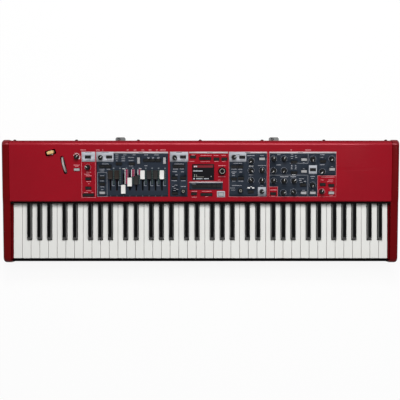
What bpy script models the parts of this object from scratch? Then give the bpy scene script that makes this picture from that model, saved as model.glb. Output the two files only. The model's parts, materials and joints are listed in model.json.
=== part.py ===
"""Stage keyboard with 73 keys, lowest and highest E, as an assembly of separate pieces.

X runs to the player's right, Y away from the player, Z up, in metres. The origin is on
the floor, midway along the body and midway between its front and its rear brackets.
"""
import math

import bmesh
import bpy
from mathutils import Matrix, Vector

# Fits and stock
SEAT_GAP = 0.0003
SLIDE_GAP = 0.0006
SHEET = 0.002
TINY = 1e-6
SHARP_ANGLE = math.radians(35)

# Sides of the round pieces
ROD_SIDES = 8
FOOT_SIDES = 12
JACK_SIDES = 8
DIN_SIDES = 14
BRACKET_HOLE_SIDES = 10
KNOB_SIDES = 12
BOARD_KNOB_SIDES = 8
DIAL_SIDES = 16
SHAFT_HOLE_SIDES = 6
PIN_SIDES = 12
WHEEL_SIDES = 36
BEND_STEPS = 6

# Keys
OCTAVE_WIDTH = 0.165
WHITE_COUNT = 43
MIDDLE_OCTAVE_FIRST = 19
KEY_SIDE_GAP = 0.001
END_KEY_MARGIN = 0.0052
WHITE_TOP = 0.080
WHITE_THICKNESS = 0.018
WHITE_HEAD = 0.0485
WHITE_FRONT_ROUND = 0.0012
KEY_EXPOSED = 0.1545
KEY_HIDDEN = 0.049
KEY_DIP = 0.010
BLACK_SLOT = 0.0141
BLACK_BASE_WIDTH = 0.0125
BLACK_TOP_WIDTH = 0.0098
BLACK_RISE = 0.012
BLACK_FRONT_SLOPE = 0.008
BLACK_HEAD_GAP = 0.0015
BLACK_TAIL_RISE = 0.0035
BLACK_TOP_HIDDEN = 0.004
COMB_RAIL_DEPTH = 0.008
COMB_RAIL_INSET = 0.002
BLACK_RAIL_SETBACK = 0.015
BLACK_RAIL_LIFT = 0.0015
BLACK_RAIL_HEIGHT = 0.004
BLACK_TAIL_SHORT = 0.010

# Keybed
PIVOT_SETBACK = 0.035
PIVOT_BELOW_KEY = 0.001
PIVOT_ROD_RADIUS = 0.003
FRAME_SHEET = 0.0025
FRAME_END_GAP = 0.002
FRONT_RAIL_SETBACK = 0.0075
FRONT_RAIL_DEPTH = 0.024
CONTACT_RAIL_FRONT = -0.052
CONTACT_RAIL_DEPTH = 0.032
PIVOT_RAIL_DEPTH = 0.014
PIVOT_RAIL_HEAD = 0.008
CONTACT_STRIP = 0.002
DOME_HEIGHT = 0.005
DOME_RADIUS = 0.004
DOME_TOP_RADIUS = 0.0028
SPRING_SHEET = 0.0008
SPRING_FOOT_FRONT = -0.012
SPRING_FOOT_DEPTH = 0.010
SPRING_TIP_SETBACK = 0.020
SPRING_FINGER_WIDTH = 0.007
SPRING_COMB_BACK = 0.014

# Case
FOOT_HEIGHT = 0.008
FOOT_RADIUS = 0.0125
FOOT_CHAMFER = 0.0015
FOOT_END_INSET = 0.062
FOOT_FRONT_INSET = 0.038
FOOT_REAR_INSET = 0.034
CHEEK_THICKNESS = 0.022
CHEEK_LEAD = 0.002
CHEEK_FRONT_HEIGHT = 0.088
CHEEK_FRONT_ROUND = 0.009
CHEEK_TOE = 0.0045
CHEEK_EDGE_ROUND = 0.008
CHEEK_ABOVE_PANEL = 0.002
CHEEK_STEP_LENGTH = 0.030
CHEEK_EDGE_STEPS = 3
TRAY_FRONT_LIP = 0.045
TRAY_REAR_LIP = 0.024
SLIP_THICKNESS = 0.0058
SLIP_KEY_GAP = 0.0012
SLIP_BELOW_KEY_TOP = 0.014
SLIP_FLANGE = 0.0024
SLIP_FLANGE_HEIGHT = 0.040

# Control panel
LIP_Y = -0.005
LIP_ROUND = 0.003
LIP_DROP = 0.0045
LIP_SHOULDER = 0.0015
PANEL_FRONT_HEIGHT = 0.098
PANEL_TILT = math.radians(3.8)
PANEL_SLOPE_LENGTH = 0.1488
REAR_BEND = 0.0115
SKIRT_BOTTOM = 0.086

# Controls, as heights above the panel's face
CAP_HEIGHT = 0.003
MAT_TOP = -0.005
MAT_THICKNESS = 0.0015
BUTTON_TRAVEL = 0.001
PRESSED_MAT_GAP = 0.0009
BOARD_THICKNESS = 0.0016
KNOB_RADIUS = 0.00625
KNOB_HEIGHT = 0.0135
KNOB_LIFT = 0.0008
KNOB_TAPER = 0.0005
SHAFT_RADIUS = 0.003
SHAFT_GAP = 0.0006
DIAL_RADIUS = 0.010
DIAL_HEIGHT = 0.015
STANDOFF_RADIUS = 0.002
CAP_GAP = 0.0005

# Drawbars
DRAWBAR_COUNT = 9
DRAWBAR_FIRST_X = -0.2416
DRAWBAR_PITCH = 0.01725
DRAWBAR_HOME_V = 0.0686
DRAWBAR_STEP = 0.004875
DRAWBAR_STEPS = 8
DRAWBAR_VALUES = (0, 0, 8, 4, 3, 0, 0, 0, 0)
DRAWBAR_COLOURS = ("brown", "brown", "white", "white", "black", "white", "black", "black", "white")
DRAWBAR_WIDTH = 0.012
DRAWBAR_LENGTH = 0.0245
DRAWBAR_HEIGHT = 0.0095
DRAWBAR_CROWN = 0.0019
DRAWBAR_CROWN_INSET = 0.0012
STEM_WIDTH = 0.003
STEM_LENGTH = 0.006

# Display
DISPLAY_X = 0.007
DISPLAY_V = 0.0752
DISPLAY_WIDTH = 0.058
DISPLAY_DEPTH = 0.043
LENS_BOTTOM = -0.001
LENS_TOP = 0.0015

# Pitch stick and modulation wheel
STICK_X = -0.402
STICK_V = 0.128
STICK_TURN = math.radians(15)
STICK_LENGTH = 0.022
STICK_WIDTH = 0.013
STICK_HEIGHT = 0.011
STICK_SKIRT = 0.006
STICK_EASE = 0.001
STICK_NECK = 0.008
STICK_PIVOT_DEPTH = 0.018
STICK_SWING = math.radians(9)
STICK_SLOT_GAP = 0.0008
WHEEL_X = -0.367
WHEEL_V = 0.0945
WHEEL_TURN = math.radians(13.3)
WHEEL_RADIUS = 0.028
WHEEL_WIDTH = 0.008
WHEEL_DEPTH = 0.0173
WHEEL_RIM_EASE = 0.001
WHEEL_SLOT_GAP = 0.0012
EAR_THICKNESS = 0.003
EAR_LENGTH = 0.011
LEVER_PIN_RADIUS = 0.002
PIN_RUNNING_GAP = 0.0003

# Rear connectors, by their distance along the body and height above the floor
SOCKET_HEIGHT = 0.038
SOCKET_BODY_DEPTH = 0.016
SOCKET_NOSE = 0.0012
SOCKET_BOARD_MARGIN = 0.010
JACK_FIRST_X = -0.300
JACK_COUNT = 6
JACK_PITCH = 0.045
JACK_BODY = 0.018
JACK_NOSE_RADIUS = 0.0065
JACK_BORE = 0.0035
DIN_XS = (-0.015, 0.030)
DIN_BODY = 0.022
DIN_BORE = 0.0075
USB_X = 0.075
USB_WIDTH = 0.012
USB_HEIGHT = 0.011
USB_WALL = 0.0015
INLET_TO_CHEEK = 0.087
INLET_HEIGHT_Z = 0.045
INLET_WIDTH = 0.032
INLET_HEIGHT = 0.025
INLET_DEPTH = 0.024
INLET_RECESS_WIDTH = 0.025
INLET_RECESS_HEIGHT = 0.017
INLET_RECESS_DEPTH = 0.017
SWITCH_TO_INLET = 0.050
SWITCH_WIDTH = 0.019
SWITCH_HEIGHT = 0.017
SWITCH_PIVOT_DEPTH = 0.0065
SWITCH_EDGE_REACH = 0.011
SWITCH_RIDGE_REACH = 0.012
SWITCH_BACK_REACH = 0.004
SWITCH_BACK_HEIGHT = 0.012
SWITCH_SWING = math.radians(8)
SWITCH_HOLE_GAP = 0.0005
SUPPLY_LENGTH = 0.160
SUPPLY_DEPTH = 0.060
SUPPLY_HEIGHT = 0.042
SUPPLY_GAP = 0.012
SUPPLY_PAST_INLET = 0.040
BRACKET_XS = (-0.2167, 0.1985)
BRACKET_WIDTH = 0.027
BRACKET_REACH = 0.0098
BRACKET_SHEET = 0.0025
BRACKET_TOP = 0.083
BRACKET_LEG = 0.033
BRACKET_HOLE = 0.0031
BRACKET_HOLE_OFFSET = -0.0043
BRACKET_CORNER = 0.0033

# Button kinds: width across the body, length along the panel
BUTTON_KINDS = {
    "small": (0.0145, 0.0065),
    "narrow": (0.0092, 0.0065),
    "strip": (0.0115, 0.0085),
    "wide": (0.030, 0.0070),
    "tall": (0.0070, 0.017),
    "store": (0.0140, 0.0090),
}

# Buttons of each mat as (kind, x, v), with v measured up the slope from the front fold
LEFT_BUTTONS = (
    ("small", -0.3320, 0.0823),
    ("small", -0.3020, 0.1162),
    ("small", -0.3015, 0.0576),
    ("small", -0.3015, 0.0328),
    ("wide", -0.3015, 0.0140),
    ("small", -0.2450, 0.1162),
    ("small", -0.2640, 0.0905),
    ("small", -0.2470, 0.0905),
    ("small", -0.2640, 0.0600),
    ("small", -0.2640, 0.0436),
    ("small", -0.2640, 0.0199),
    ("small", -0.2185, 0.0980),
    ("small", -0.1842, 0.0980),
    ("tall", -0.1660, 0.1065),
    ("tall", -0.0965, 0.1065),
)
CENTRE_BUTTONS = (
    ("small", -0.0470, 0.1162),
    ("small", -0.0665, 0.0905),
    ("small", -0.0500, 0.0905),
    ("small", -0.0700, 0.0600),
    ("small", -0.0465, 0.0600),
    ("small", -0.0690, 0.0186),
    ("small", -0.0201, 0.1165),
    ("small", 0.0427, 0.1108),
    ("small", 0.0640, 0.1108),
    ("small", -0.0175, 0.0175),
    ("store", 0.0553, 0.0160),
)
RIGHT_BUTTONS = (
    ("small", 0.1120, 0.1157),
    ("small", 0.0897, 0.0901),
    ("small", 0.1066, 0.0901),
    ("small", 0.0897, 0.0575),
    ("small", 0.1087, 0.0590),
    ("small", 0.1355, 0.0229),
    ("small", 0.1651, 0.1111),
    ("small", 0.2510, 0.1028),
    ("small", 0.2776, 0.1092),
    ("small", 0.3284, 0.1044),
    ("small", 0.2510, 0.0740),
    ("small", 0.2776, 0.0775),
    ("small", 0.3018, 0.0823),
    ("small", 0.3531, 0.0831),
    ("small", 0.2757, 0.0412),
    ("small", 0.3284, 0.0425),
    ("small", 0.3517, 0.0398),
    ("small", 0.1955, 0.0175),
    ("small", 0.2771, 0.0199),
    ("small", 0.3018, 0.0199),
    ("small", 0.3517, 0.0199),
)

# Banks of buttons that share one window, as (kind, first x, v, count, pitch)
LEFT_BANKS = (("small", -0.1461, 0.1068, 3, 0.0165),)
CENTRE_BANKS = (
    ("narrow", 0.0015, 0.1120, 3, 0.0110),
    ("strip", -0.0160, 0.0382, 6, 0.0130),
    ("small", 0.0080, 0.0155, 2, 0.0160),
)
RIGHT_BANKS = ()

# Knobs that turn as nodes of their own, and those carried with the board, as (x, v)
TURNING_KNOBS = {
    "master_level_knob": (-0.3320, 0.1167),
    "organ_volume_knob": (-0.2682, 0.1146),
    "piano_volume_knob": (-0.0695, 0.1146),
    "synth_volume_knob": (0.0897, 0.1157),
    "filter_knob": (0.1359, 0.1054),
    "effect_rate_knob": (0.1963, 0.1111),
    "reverb_knob": (0.3523, 0.1111),
}
BOARD_KNOBS = (
    (-0.3026, 0.0885),
    (-0.0462, 0.0247),
    (0.1074, 0.0261),
    (0.1359, 0.0802),
    (0.1359, 0.0538),
    (0.1655, 0.0802),
    (0.1655, 0.0522),
    (0.1651, 0.0237),
    (0.2242, 0.1111),
    (0.3010, 0.1106),
    (0.1963, 0.0796),
    (0.2242, 0.0796),
    (0.3270, 0.0769),
    (0.1963, 0.0522),
    (0.2242, 0.0522),
    (0.2510, 0.0522),
    (0.3010, 0.0412),
    (0.2229, 0.0199),
    (0.2497, 0.0221),
    (0.3257, 0.0234),
)
DIAL_PLACE = (0.0580, 0.0785)
STANDOFFS = (
    (-0.2490, 0.0120),
    (-0.0885, 0.0120),
    (0.0765, 0.0120),
    (-0.0885, 0.0750),
    (0.0765, 0.0750),
    (-0.3300, 0.1268),
    (-0.2000, 0.1268),
    (-0.0842, 0.1268),
    (0.0765, 0.1268),
    (0.2200, 0.1268),
    (0.3550, 0.1268),
)

# Mat and board outlines as rectangles (x from, x to, v from, v to)
BOARD_RECT = (-0.3420, 0.3680, 0.0075, 0.1300)
LEFT_MAT_RECT = (-0.3400, -0.2535, 0.0090, 0.1235)
UPPER_MAT_RECT = (-0.2540, -0.0910, 0.0880, 0.1235)
CENTRE_MAT_RECT = (-0.0800, 0.0730, 0.0090, 0.1235)
RIGHT_MAT_RECT = (0.0800, 0.3640, 0.0090, 0.1235)

# Places that follow from the sizes above
white_pitch = OCTAVE_WIDTH / 7
inner_half = WHITE_COUNT * white_pitch / 2 + END_KEY_MARGIN
panel_half = inner_half - SEAT_GAP
key_front = LIP_Y - KEY_EXPOSED
key_rear = LIP_Y + KEY_HIDDEN
head_end = key_front + WHITE_HEAD
key_bottom = WHITE_TOP - WHITE_THICKNESS
black_top = WHITE_TOP + BLACK_RISE
black_front = head_end + BLACK_HEAD_GAP
black_rear = key_rear - BLACK_TAIL_SHORT
pivot_y = LIP_Y + PIVOT_SETBACK
pivot_z = key_bottom - PIVOT_BELOW_KEY
dip_angle = math.asin(KEY_DIP / (pivot_y - key_front))
groove_radius = PIVOT_ROD_RADIUS + SEAT_GAP

tray_bottom = FOOT_HEIGHT
tray_top = tray_bottom + SHEET
slip_rear = key_front - SLIP_KEY_GAP
slip_front = slip_rear - SLIP_THICKNESS
tray_front = slip_rear + SLIP_FLANGE + SEAT_GAP
cheek_front = slip_front - CHEEK_LEAD

fold_y = LIP_Y + LIP_ROUND
slope = Vector((0, math.cos(PANEL_TILT), math.sin(PANEL_TILT)))
normal = Vector((0, -math.sin(PANEL_TILT), math.cos(PANEL_TILT)))
fold = Vector((0, fold_y, PANEL_FRONT_HEIGHT))
slope_end = fold + slope * PANEL_SLOPE_LENGTH
bend_centre = slope_end - normal * REAR_BEND
rear_face = bend_centre.y + REAR_BEND
rear_panel_outer = rear_face - SHEET - SEAT_GAP
rear_panel_inner = rear_panel_outer - SHEET
tray_rear = rear_panel_inner - SEAT_GAP
socket_rear = rear_panel_outer + SOCKET_NOSE
inlet_front = socket_rear - INLET_DEPTH
inlet_x = inner_half - INLET_TO_CHEEK
switch_x = inlet_x - SWITCH_TO_INLET
rear_cut = (rear_panel_inner - SHEET, rear_panel_outer + SHEET)
panel_cut = (-2 * SHEET, SHEET)
board_top = MAT_TOP - MAT_THICKNESS - BUTTON_TRAVEL - PRESSED_MAT_GAP
stem_bottom = board_top + PRESSED_MAT_GAP

frame_bottom = tray_top + SEAT_GAP
frame_base = frame_bottom + FRAME_SHEET
frame_half = inner_half - FRAME_END_GAP

# The letters C to B count 0 to 6, and white key 0 is an E
FIRST_LETTER = 2
SHARP_AFTER = (0, 1, 3, 4, 5)
LETTERS = "CDEFGAB"


def pressed_underside(y):
    """Height of a key's underside at y when the key is fully down."""
    return key_bottom - (pivot_y - y) * math.sin(dip_angle)


def principled(name, colour, roughness, metallic=0.0):
    material = bpy.data.materials.new(name)
    material.use_nodes = True
    shader = material.node_tree.nodes["Principled BSDF"]
    shader.inputs["Base Color"].default_value = (*colour, 1.0)
    shader.inputs["Roughness"].default_value = roughness
    shader.inputs["Metallic"].default_value = metallic
    material.diffuse_color = (*colour, 1.0)
    return material


def make_materials():
    return {
        "red_paint": principled("red_paint", (0.30, 0.006, 0.018), 0.32),
        "dark_red_paint": principled("dark_red_paint", (0.10, 0.002, 0.005), 0.30),
        "black_steel": principled("black_steel", (0.012, 0.012, 0.013), 0.55, 0.3),
        "black_plastic": principled("black_plastic", (0.015, 0.015, 0.016), 0.40),
        "key_white": principled("key_white", (0.70, 0.70, 0.67), 0.25),
        "key_black": principled("key_black", (0.012, 0.012, 0.013), 0.30),
        "bare_aluminium": principled("bare_aluminium", (0.45, 0.45, 0.44), 0.40, 1.0),
        "spring_steel": principled("spring_steel", (0.55, 0.56, 0.58), 0.30, 1.0),
        "board_green": principled("board_green", (0.02, 0.12, 0.05), 0.50),
        "silicone": principled("silicone", (0.22, 0.23, 0.25), 0.60),
        "rubber": principled("rubber", (0.015, 0.015, 0.015), 0.90),
        "wood": principled("wood", (0.52, 0.30, 0.10), 0.50),
        "stone": principled("stone", (0.55, 0.52, 0.50), 0.35),
        "drawbar_brown": principled("drawbar_brown", (0.035, 0.018, 0.014), 0.35),
        "drawbar_white": principled("drawbar_white", (0.75, 0.74, 0.70), 0.30),
        "display_glass": principled("display_glass", (0.01, 0.01, 0.012), 0.10),
        "bracket_grey": principled("bracket_grey", (0.12, 0.12, 0.12), 0.45, 0.6),
    }


def add_faces(bm, points, faces):
    """Adds one closed shell from points and faces, and turns its faces outward."""
    verts = [bm.verts.new(point) for point in points]
    made = [bm.faces.new([verts[i] for i in face]) for face in faces]
    bmesh.ops.recalc_face_normals(bm, faces=made)
    return verts


def add_prism(bm, outline, low, high, place):
    """Extrudes a closed outline of (a, b) pairs from low to high. place gives the 3-D point."""
    count = len(outline)
    points = [place(a, b, low) for a, b in outline] + [place(a, b, high) for a, b in outline]
    sides = [(i, (i + 1) % count, (i + 1) % count + count, i + count) for i in range(count)]
    caps = [tuple(range(count)), tuple(range(count, 2 * count))]
    return add_faces(bm, points, caps + sides)


def along_x(a, b, c):
    return (c, a, b)


def along_y(a, b, c):
    return (a, c, b)


def along_z(a, b, c):
    return (a, b, c)


def add_box(bm, x, y, z):
    """Adds a box from three (low, high) pairs."""
    outline = [(x[0], y[0]), (x[1], y[0]), (x[1], y[1]), (x[0], y[1])]
    return add_prism(bm, outline, z[0], z[1], along_z)


def circle(radius, sides, a=0.0, b=0.0):
    """Points of a regular polygon round (a, b), with a flat side across its foot."""
    turns = [2 * math.pi * (i + 0.5) / sides for i in range(sides)]
    return [(a + radius * math.cos(turn), b + radius * math.sin(turn)) for turn in turns]


def bore_outline(radius, sides, a=0.0, b=0.0):
    """Points of a polygon whose flats lie at the radius, so that a round piece passes."""
    return circle(radius / math.cos(math.pi / sides), sides, a, b)


def add_loft(bm, loops):
    """Joins loops of equal length into one shell, with the first and last loop capped."""
    count = len(loops[0])
    points = [point for loop in loops for point in loop]
    faces = [tuple(range(count)), tuple(range((len(loops) - 1) * count, len(loops) * count))]
    for level in range(len(loops) - 1):
        base = level * count
        for i in range(count):
            after = (i + 1) % count
            faces.append((base + i, base + after, base + count + after, base + count + i))
    return add_faces(bm, points, faces)


def add_turned(bm, profile, sides, x=0.0, y=0.0):
    """Turns (radius, height) pairs about a vertical axis through (x, y)."""
    return add_loft(bm, [[(a, b, z) for a, b in circle(r, sides, x, y)] for r, z in profile])


def make_object(name, bm, material=None, parent=None, place=(0, 0, 0)):
    mesh = bpy.data.meshes.new(name)
    bm.to_mesh(mesh)
    bm.free()
    mesh.shade_smooth()
    mesh.set_sharp_from_angle(angle=SHARP_ANGLE)
    made = bpy.data.objects.new(name, mesh)
    if material:
        mesh.materials.append(material)
    made.location = place
    made.parent = parent
    bpy.context.scene.collection.objects.link(made)
    return made


def make_helper(name, bm, parent=None, place=(0, 0, 0)):
    """Makes a mesh that only cuts or joins others."""
    helper = make_object(name, bm, None, parent, place)
    helper.hide_render = True
    helper.display_type = "WIRE"
    return helper


def boolean(target, helper, operation):
    modifier = target.modifiers.new(helper.name, "BOOLEAN")
    modifier.operation = operation
    modifier.object = helper


# Keys


def letter_of(index):
    return (index + FIRST_LETTER) % 7


def boundary_x(index):
    """X of the line between white key index - 1 and white key index."""
    return (index - WHITE_COUNT / 2) * white_pitch


def sharp_x(index):
    """X of the middle of the black key above white key index."""
    shift = {0: -1 / 6, 1: 1 / 6, 3: -1 / 4, 4: 0, 5: 1 / 4}[letter_of(index)]
    return boundary_x(index + 1) + shift * BLACK_SLOT


def has_sharp(index):
    return 0 <= index < WHITE_COUNT - 1 and letter_of(index) in SHARP_AFTER


def tail_span(index):
    """Left and right edge of a white key beside the black keys."""
    left = boundary_x(index) + KEY_SIDE_GAP / 2
    right = boundary_x(index + 1) - KEY_SIDE_GAP / 2
    if has_sharp(index - 1):
        left = sharp_x(index - 1) + BLACK_SLOT / 2
    if has_sharp(index):
        right = sharp_x(index) - BLACK_SLOT / 2
    return left, right


def add_white_key(bm, index, x0=0.0, y0=0.0, z0=0.0):
    """Adds one white key: a wide head, a tail between the black keys and a rounded front edge."""
    left = boundary_x(index) + KEY_SIDE_GAP / 2
    right = boundary_x(index + 1) - KEY_SIDE_GAP / 2
    tail_left, tail_right = tail_span(index)
    outline = [(left, key_front), (right, key_front)]
    if tail_right < right:
        outline += [(right, head_end), (tail_right, head_end)]
    outline += [(tail_right, key_rear), (tail_left, key_rear)]
    if tail_left > left:
        outline += [(tail_left, head_end), (left, head_end)]
    outline = [(a - x0, b - y0) for a, b in outline]
    bottom = key_bottom - z0
    verts = add_prism(bm, outline, bottom, WHITE_TOP - z0, along_z)
    front = [v for v in verts if abs(v.co.y - (key_front - y0)) < TINY]
    edge = bm.edges.get([v for v in front if v.co.z > bottom + TINY])
    bmesh.ops.bevel(bm, geom=[edge], offset=WHITE_FRONT_ROUND, segments=1, profile=0.5, affect="EDGES")


def add_black_key(bm, index, x0=0.0, y0=0.0, z0=0.0):
    """Adds one black key: sloped front and sides on top, and a low tail under the panel."""
    middle = sharp_x(index) - x0
    base = BLACK_BASE_WIDTH / 2
    top = BLACK_TOP_WIDTH / 2
    step_y = LIP_Y + BLACK_TOP_HIDDEN
    rows = (
        (base, black_front, key_bottom),
        (base, black_front, WHITE_TOP),
        (top, black_front + BLACK_FRONT_SLOPE, black_top),
        (top, step_y, black_top),
        (base, step_y + SHEET, WHITE_TOP + BLACK_TAIL_RISE),
        (base, black_rear, WHITE_TOP + BLACK_TAIL_RISE),
        (base, black_rear, key_bottom),
    )
    points = []
    for half, y, z in rows:
        points += [(middle - half, y - y0, z - z0), (middle + half, y - y0, z - z0)]
    count = len(rows)
    faces = [(2 * i, 2 * i + 1, 2 * i + 3, 2 * i + 2) for i in range(count - 1)]
    faces.append((0, 1, 2 * count - 1, 2 * count - 2))
    for side in (0, 1):
        faces.append(tuple(2 * i + side for i in (0, 1, 4, 5, 6)))
        faces.append(tuple(2 * i + side for i in (1, 2, 3)))
        faces.append(tuple(2 * i + side for i in (1, 3, 4)))
    add_faces(bm, points, faces)


def build_keys(materials, groove):
    """Builds the middle octave key by key, and the keys on either side as ganged spans."""
    octave = range(MIDDLE_OCTAVE_FIRST, MIDDLE_OCTAVE_FIRST + len(LETTERS))
    for index in octave:
        letter = LETTERS[letter_of(index)].lower()
        place = ((boundary_x(index) + boundary_x(index + 1)) / 2, pivot_y, pivot_z)
        bm = bmesh.new()
        add_white_key(bm, index, *place)
        key = make_object(f"key_{letter}4", bm, materials["key_white"], None, place)
        boolean(key, groove, "DIFFERENCE")
        if has_sharp(index):
            place = (sharp_x(index), pivot_y, pivot_z)
            bm = bmesh.new()
            add_black_key(bm, index, *place)
            key = make_object(f"key_{letter}_sharp4", bm, materials["key_black"], None, place)
            boolean(key, groove, "DIFFERENCE")
    build_span("bass", range(0, octave.start), materials, groove)
    build_span("treble", range(octave.stop, WHITE_COUNT), materials, groove)


def build_span(title, indices, materials, groove):
    """Builds the white and the black keys of a span, each ganged by a rail at the tails."""
    place = (0, pivot_y, pivot_z)
    rail_x = (tail_span(indices[0])[0] + SEAT_GAP, tail_span(indices[-1])[1] - SEAT_GAP)
    rail_y = (key_rear - COMB_RAIL_DEPTH - pivot_y, key_rear - SEAT_GAP - pivot_y)
    rail_z = (key_bottom + COMB_RAIL_INSET - pivot_z, WHITE_TOP - COMB_RAIL_INSET - pivot_z)
    bm = bmesh.new()
    add_box(bm, rail_x, rail_y, rail_z)
    whites = make_object(f"{title}_white_keys", bm, materials["key_white"], None, place)
    shapes = bmesh.new()
    for index in indices:
        add_white_key(shapes, index, *place)
    boolean(whites, make_helper(f"{title}_white_shapes", shapes, None, place), "UNION")
    boolean(whites, groove, "DIFFERENCE")

    sharps = [index for index in indices if has_sharp(index)]
    half = BLACK_TOP_WIDTH / 2
    rail_x = (sharp_x(sharps[0]) - half, sharp_x(sharps[-1]) + half)
    front = LIP_Y + BLACK_RAIL_SETBACK - pivot_y
    low = WHITE_TOP + BLACK_RAIL_LIFT - pivot_z
    bm = bmesh.new()
    add_box(bm, rail_x, (front, front + COMB_RAIL_DEPTH), (low, low + BLACK_RAIL_HEIGHT))
    blacks = make_object(f"{title}_black_keys", bm, materials["key_black"], None, place)
    shapes = bmesh.new()
    for index in sharps:
        add_black_key(shapes, index, *place)
    boolean(blacks, make_helper(f"{title}_black_shapes", shapes, None, place), "UNION")
    boolean(blacks, groove, "DIFFERENCE")


# Keybed


def build_keybed(materials, groove):
    front = key_front + FRONT_RAIL_SETBACK
    stop_top = pressed_underside(front) - SEAT_GAP
    dome_top = pressed_underside(CONTACT_RAIL_FRONT) - SEAT_GAP
    contact_top = dome_top - DOME_HEIGHT - CONTACT_STRIP - SEAT_GAP
    pivot_front = pivot_y - PIVOT_RAIL_DEPTH / 2
    rails = (
        (front, front + FRONT_RAIL_DEPTH, stop_top, FRAME_SHEET),
        (CONTACT_RAIL_FRONT, CONTACT_RAIL_FRONT + CONTACT_RAIL_DEPTH, contact_top, FRAME_SHEET),
        (pivot_front, pivot_front + PIVOT_RAIL_DEPTH, pivot_z - PIVOT_BELOW_KEY, PIVOT_RAIL_HEAD),
    )
    upper = []
    lower = []
    for start, end, top, head in rails:
        upper += [(start, frame_base), (start, top), (end, top), (end, frame_base)]
        wall_start = start + FRAME_SHEET
        wall_end = end - FRAME_SHEET
        lower += [(wall_start, frame_bottom), (wall_start, top - head)]
        lower += [(wall_end, top - head), (wall_end, frame_bottom)]
    upper[0] = (upper[0][0], frame_bottom)
    upper[-1] = (upper[-1][0], frame_bottom)
    bm = bmesh.new()
    add_prism(bm, upper + lower[::-1], -frame_half, frame_half, along_x)
    frame = make_object("keybed_frame", bm, materials["bare_aluminium"])
    boolean(frame, groove, "DIFFERENCE")

    bm = bmesh.new()
    add_prism(bm, circle(PIVOT_ROD_RADIUS, ROD_SIDES), -frame_half, frame_half, along_x)
    make_object("key_pivot_rod", bm, materials["spring_steel"], None, (0, pivot_y, pivot_z))

    build_contact_strip(materials, contact_top + SEAT_GAP)
    build_springs(materials)


def key_middles():
    """X of the middle of every key's tail, whites and blacks in order."""
    middles = []
    for index in range(WHITE_COUNT):
        middles.append(sum(tail_span(index)) / 2)
        if has_sharp(index):
            middles.append(sharp_x(index))
    return middles


def build_contact_strip(materials, base):
    """Rubber strip with one dome under each key."""
    top = base + CONTACT_STRIP
    edge = FRAME_END_GAP
    bm = bmesh.new()
    y_span = (CONTACT_RAIL_FRONT + edge, CONTACT_RAIL_FRONT + CONTACT_RAIL_DEPTH - edge)
    add_box(bm, (-frame_half + edge, frame_half - edge), y_span, (base, top))
    strip = make_object("key_contact_strip", bm, materials["silicone"])
    bm = bmesh.new()
    y = sum(y_span) / 2
    sink = CONTACT_STRIP / 2
    profile = [(DOME_RADIUS, top - sink), (DOME_TOP_RADIUS, top + DOME_HEIGHT)]
    for x in key_middles():
        add_turned(bm, profile, 4, x, y)
    boolean(strip, make_helper("contact_domes", bm), "UNION")


def build_springs(materials):
    """Leaf spring comb: a foot on the frame and one finger rising under each key's tail."""
    base = frame_base + SEAT_GAP
    foot_rear = SPRING_FOOT_FRONT + SPRING_FOOT_DEPTH
    tip_y = LIP_Y + SPRING_TIP_SETBACK
    tip_z = pressed_underside(tip_y) - SEAT_GAP
    bm = bmesh.new()
    add_box(bm, (-frame_half, frame_half), (SPRING_FOOT_FRONT, foot_rear), (base, base + SPRING_SHEET))
    comb = make_object("key_spring_comb", bm, materials["spring_steel"])
    run = tip_y - foot_rear
    length = math.hypot(run, tip_z - base)
    rise_angle = math.asin((tip_z - base) / length)
    half = SPRING_FINGER_WIDTH / 2
    outline = [(frame_half, 0), (frame_half, SPRING_COMB_BACK)]
    for x in reversed(key_middles()):
        outline += [(x + half, SPRING_COMB_BACK), (x + half, length)]
        outline += [(x - half, length), (x - half, SPRING_COMB_BACK)]
    outline += [(-frame_half, SPRING_COMB_BACK), (-frame_half, 0)]
    spin = Matrix.Translation((0, foot_rear, base)) @ Matrix.Rotation(rise_angle, 4, "X")
    bm = bmesh.new()
    add_prism(bm, outline, 0, SPRING_SHEET, lambda a, b, c: spin @ Vector((a, b, c)))
    boolean(comb, make_helper("spring_fingers", bm), "UNION")


# Case


def arc(centre_y, centre_z, radius, start, end, steps):
    """Points of an arc in the YZ plane, angles in degrees from +Y towards +Z."""
    turns = [math.radians(start + (end - start) * i / steps) for i in range(steps + 1)]
    return [(centre_y + radius * math.cos(t), centre_z + radius * math.sin(t)) for t in turns]


def build_panel_sheet(materials):
    """The painted sheet over the controls: a front lip, a sloped face, a rear bend and a skirt."""
    tilt = math.degrees(PANEL_TILT)
    lip_bottom = PANEL_FRONT_HEIGHT - LIP_DROP
    shoulder = PANEL_FRONT_HEIGHT - LIP_SHOULDER
    outer = [(LIP_Y, lip_bottom), (LIP_Y, shoulder), (fold.y, fold.z)]
    outer += arc(bend_centre.y, bend_centre.z, REAR_BEND, 90 + tilt, 0, BEND_STEPS)
    outer.append((rear_face, SKIRT_BOTTOM))
    inner = [(rear_face - SHEET, SKIRT_BOTTOM)]
    inner += arc(bend_centre.y, bend_centre.z, REAR_BEND - SHEET, 0, 90 + tilt, BEND_STEPS)
    inner_fold = fold - normal * SHEET
    inner += [(inner_fold.y, inner_fold.z), (LIP_Y + SHEET, shoulder - SHEET / 2)]
    inner.append((LIP_Y + SHEET, lip_bottom))
    bm = bmesh.new()
    add_prism(bm, outer + inner, -panel_half, panel_half, along_x)
    return make_object("top_panel", bm, materials["red_paint"])


def panel_height(y):
    """Height of the control panel's face at y."""
    return fold.z + (y - fold.y) * math.tan(PANEL_TILT)


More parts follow.
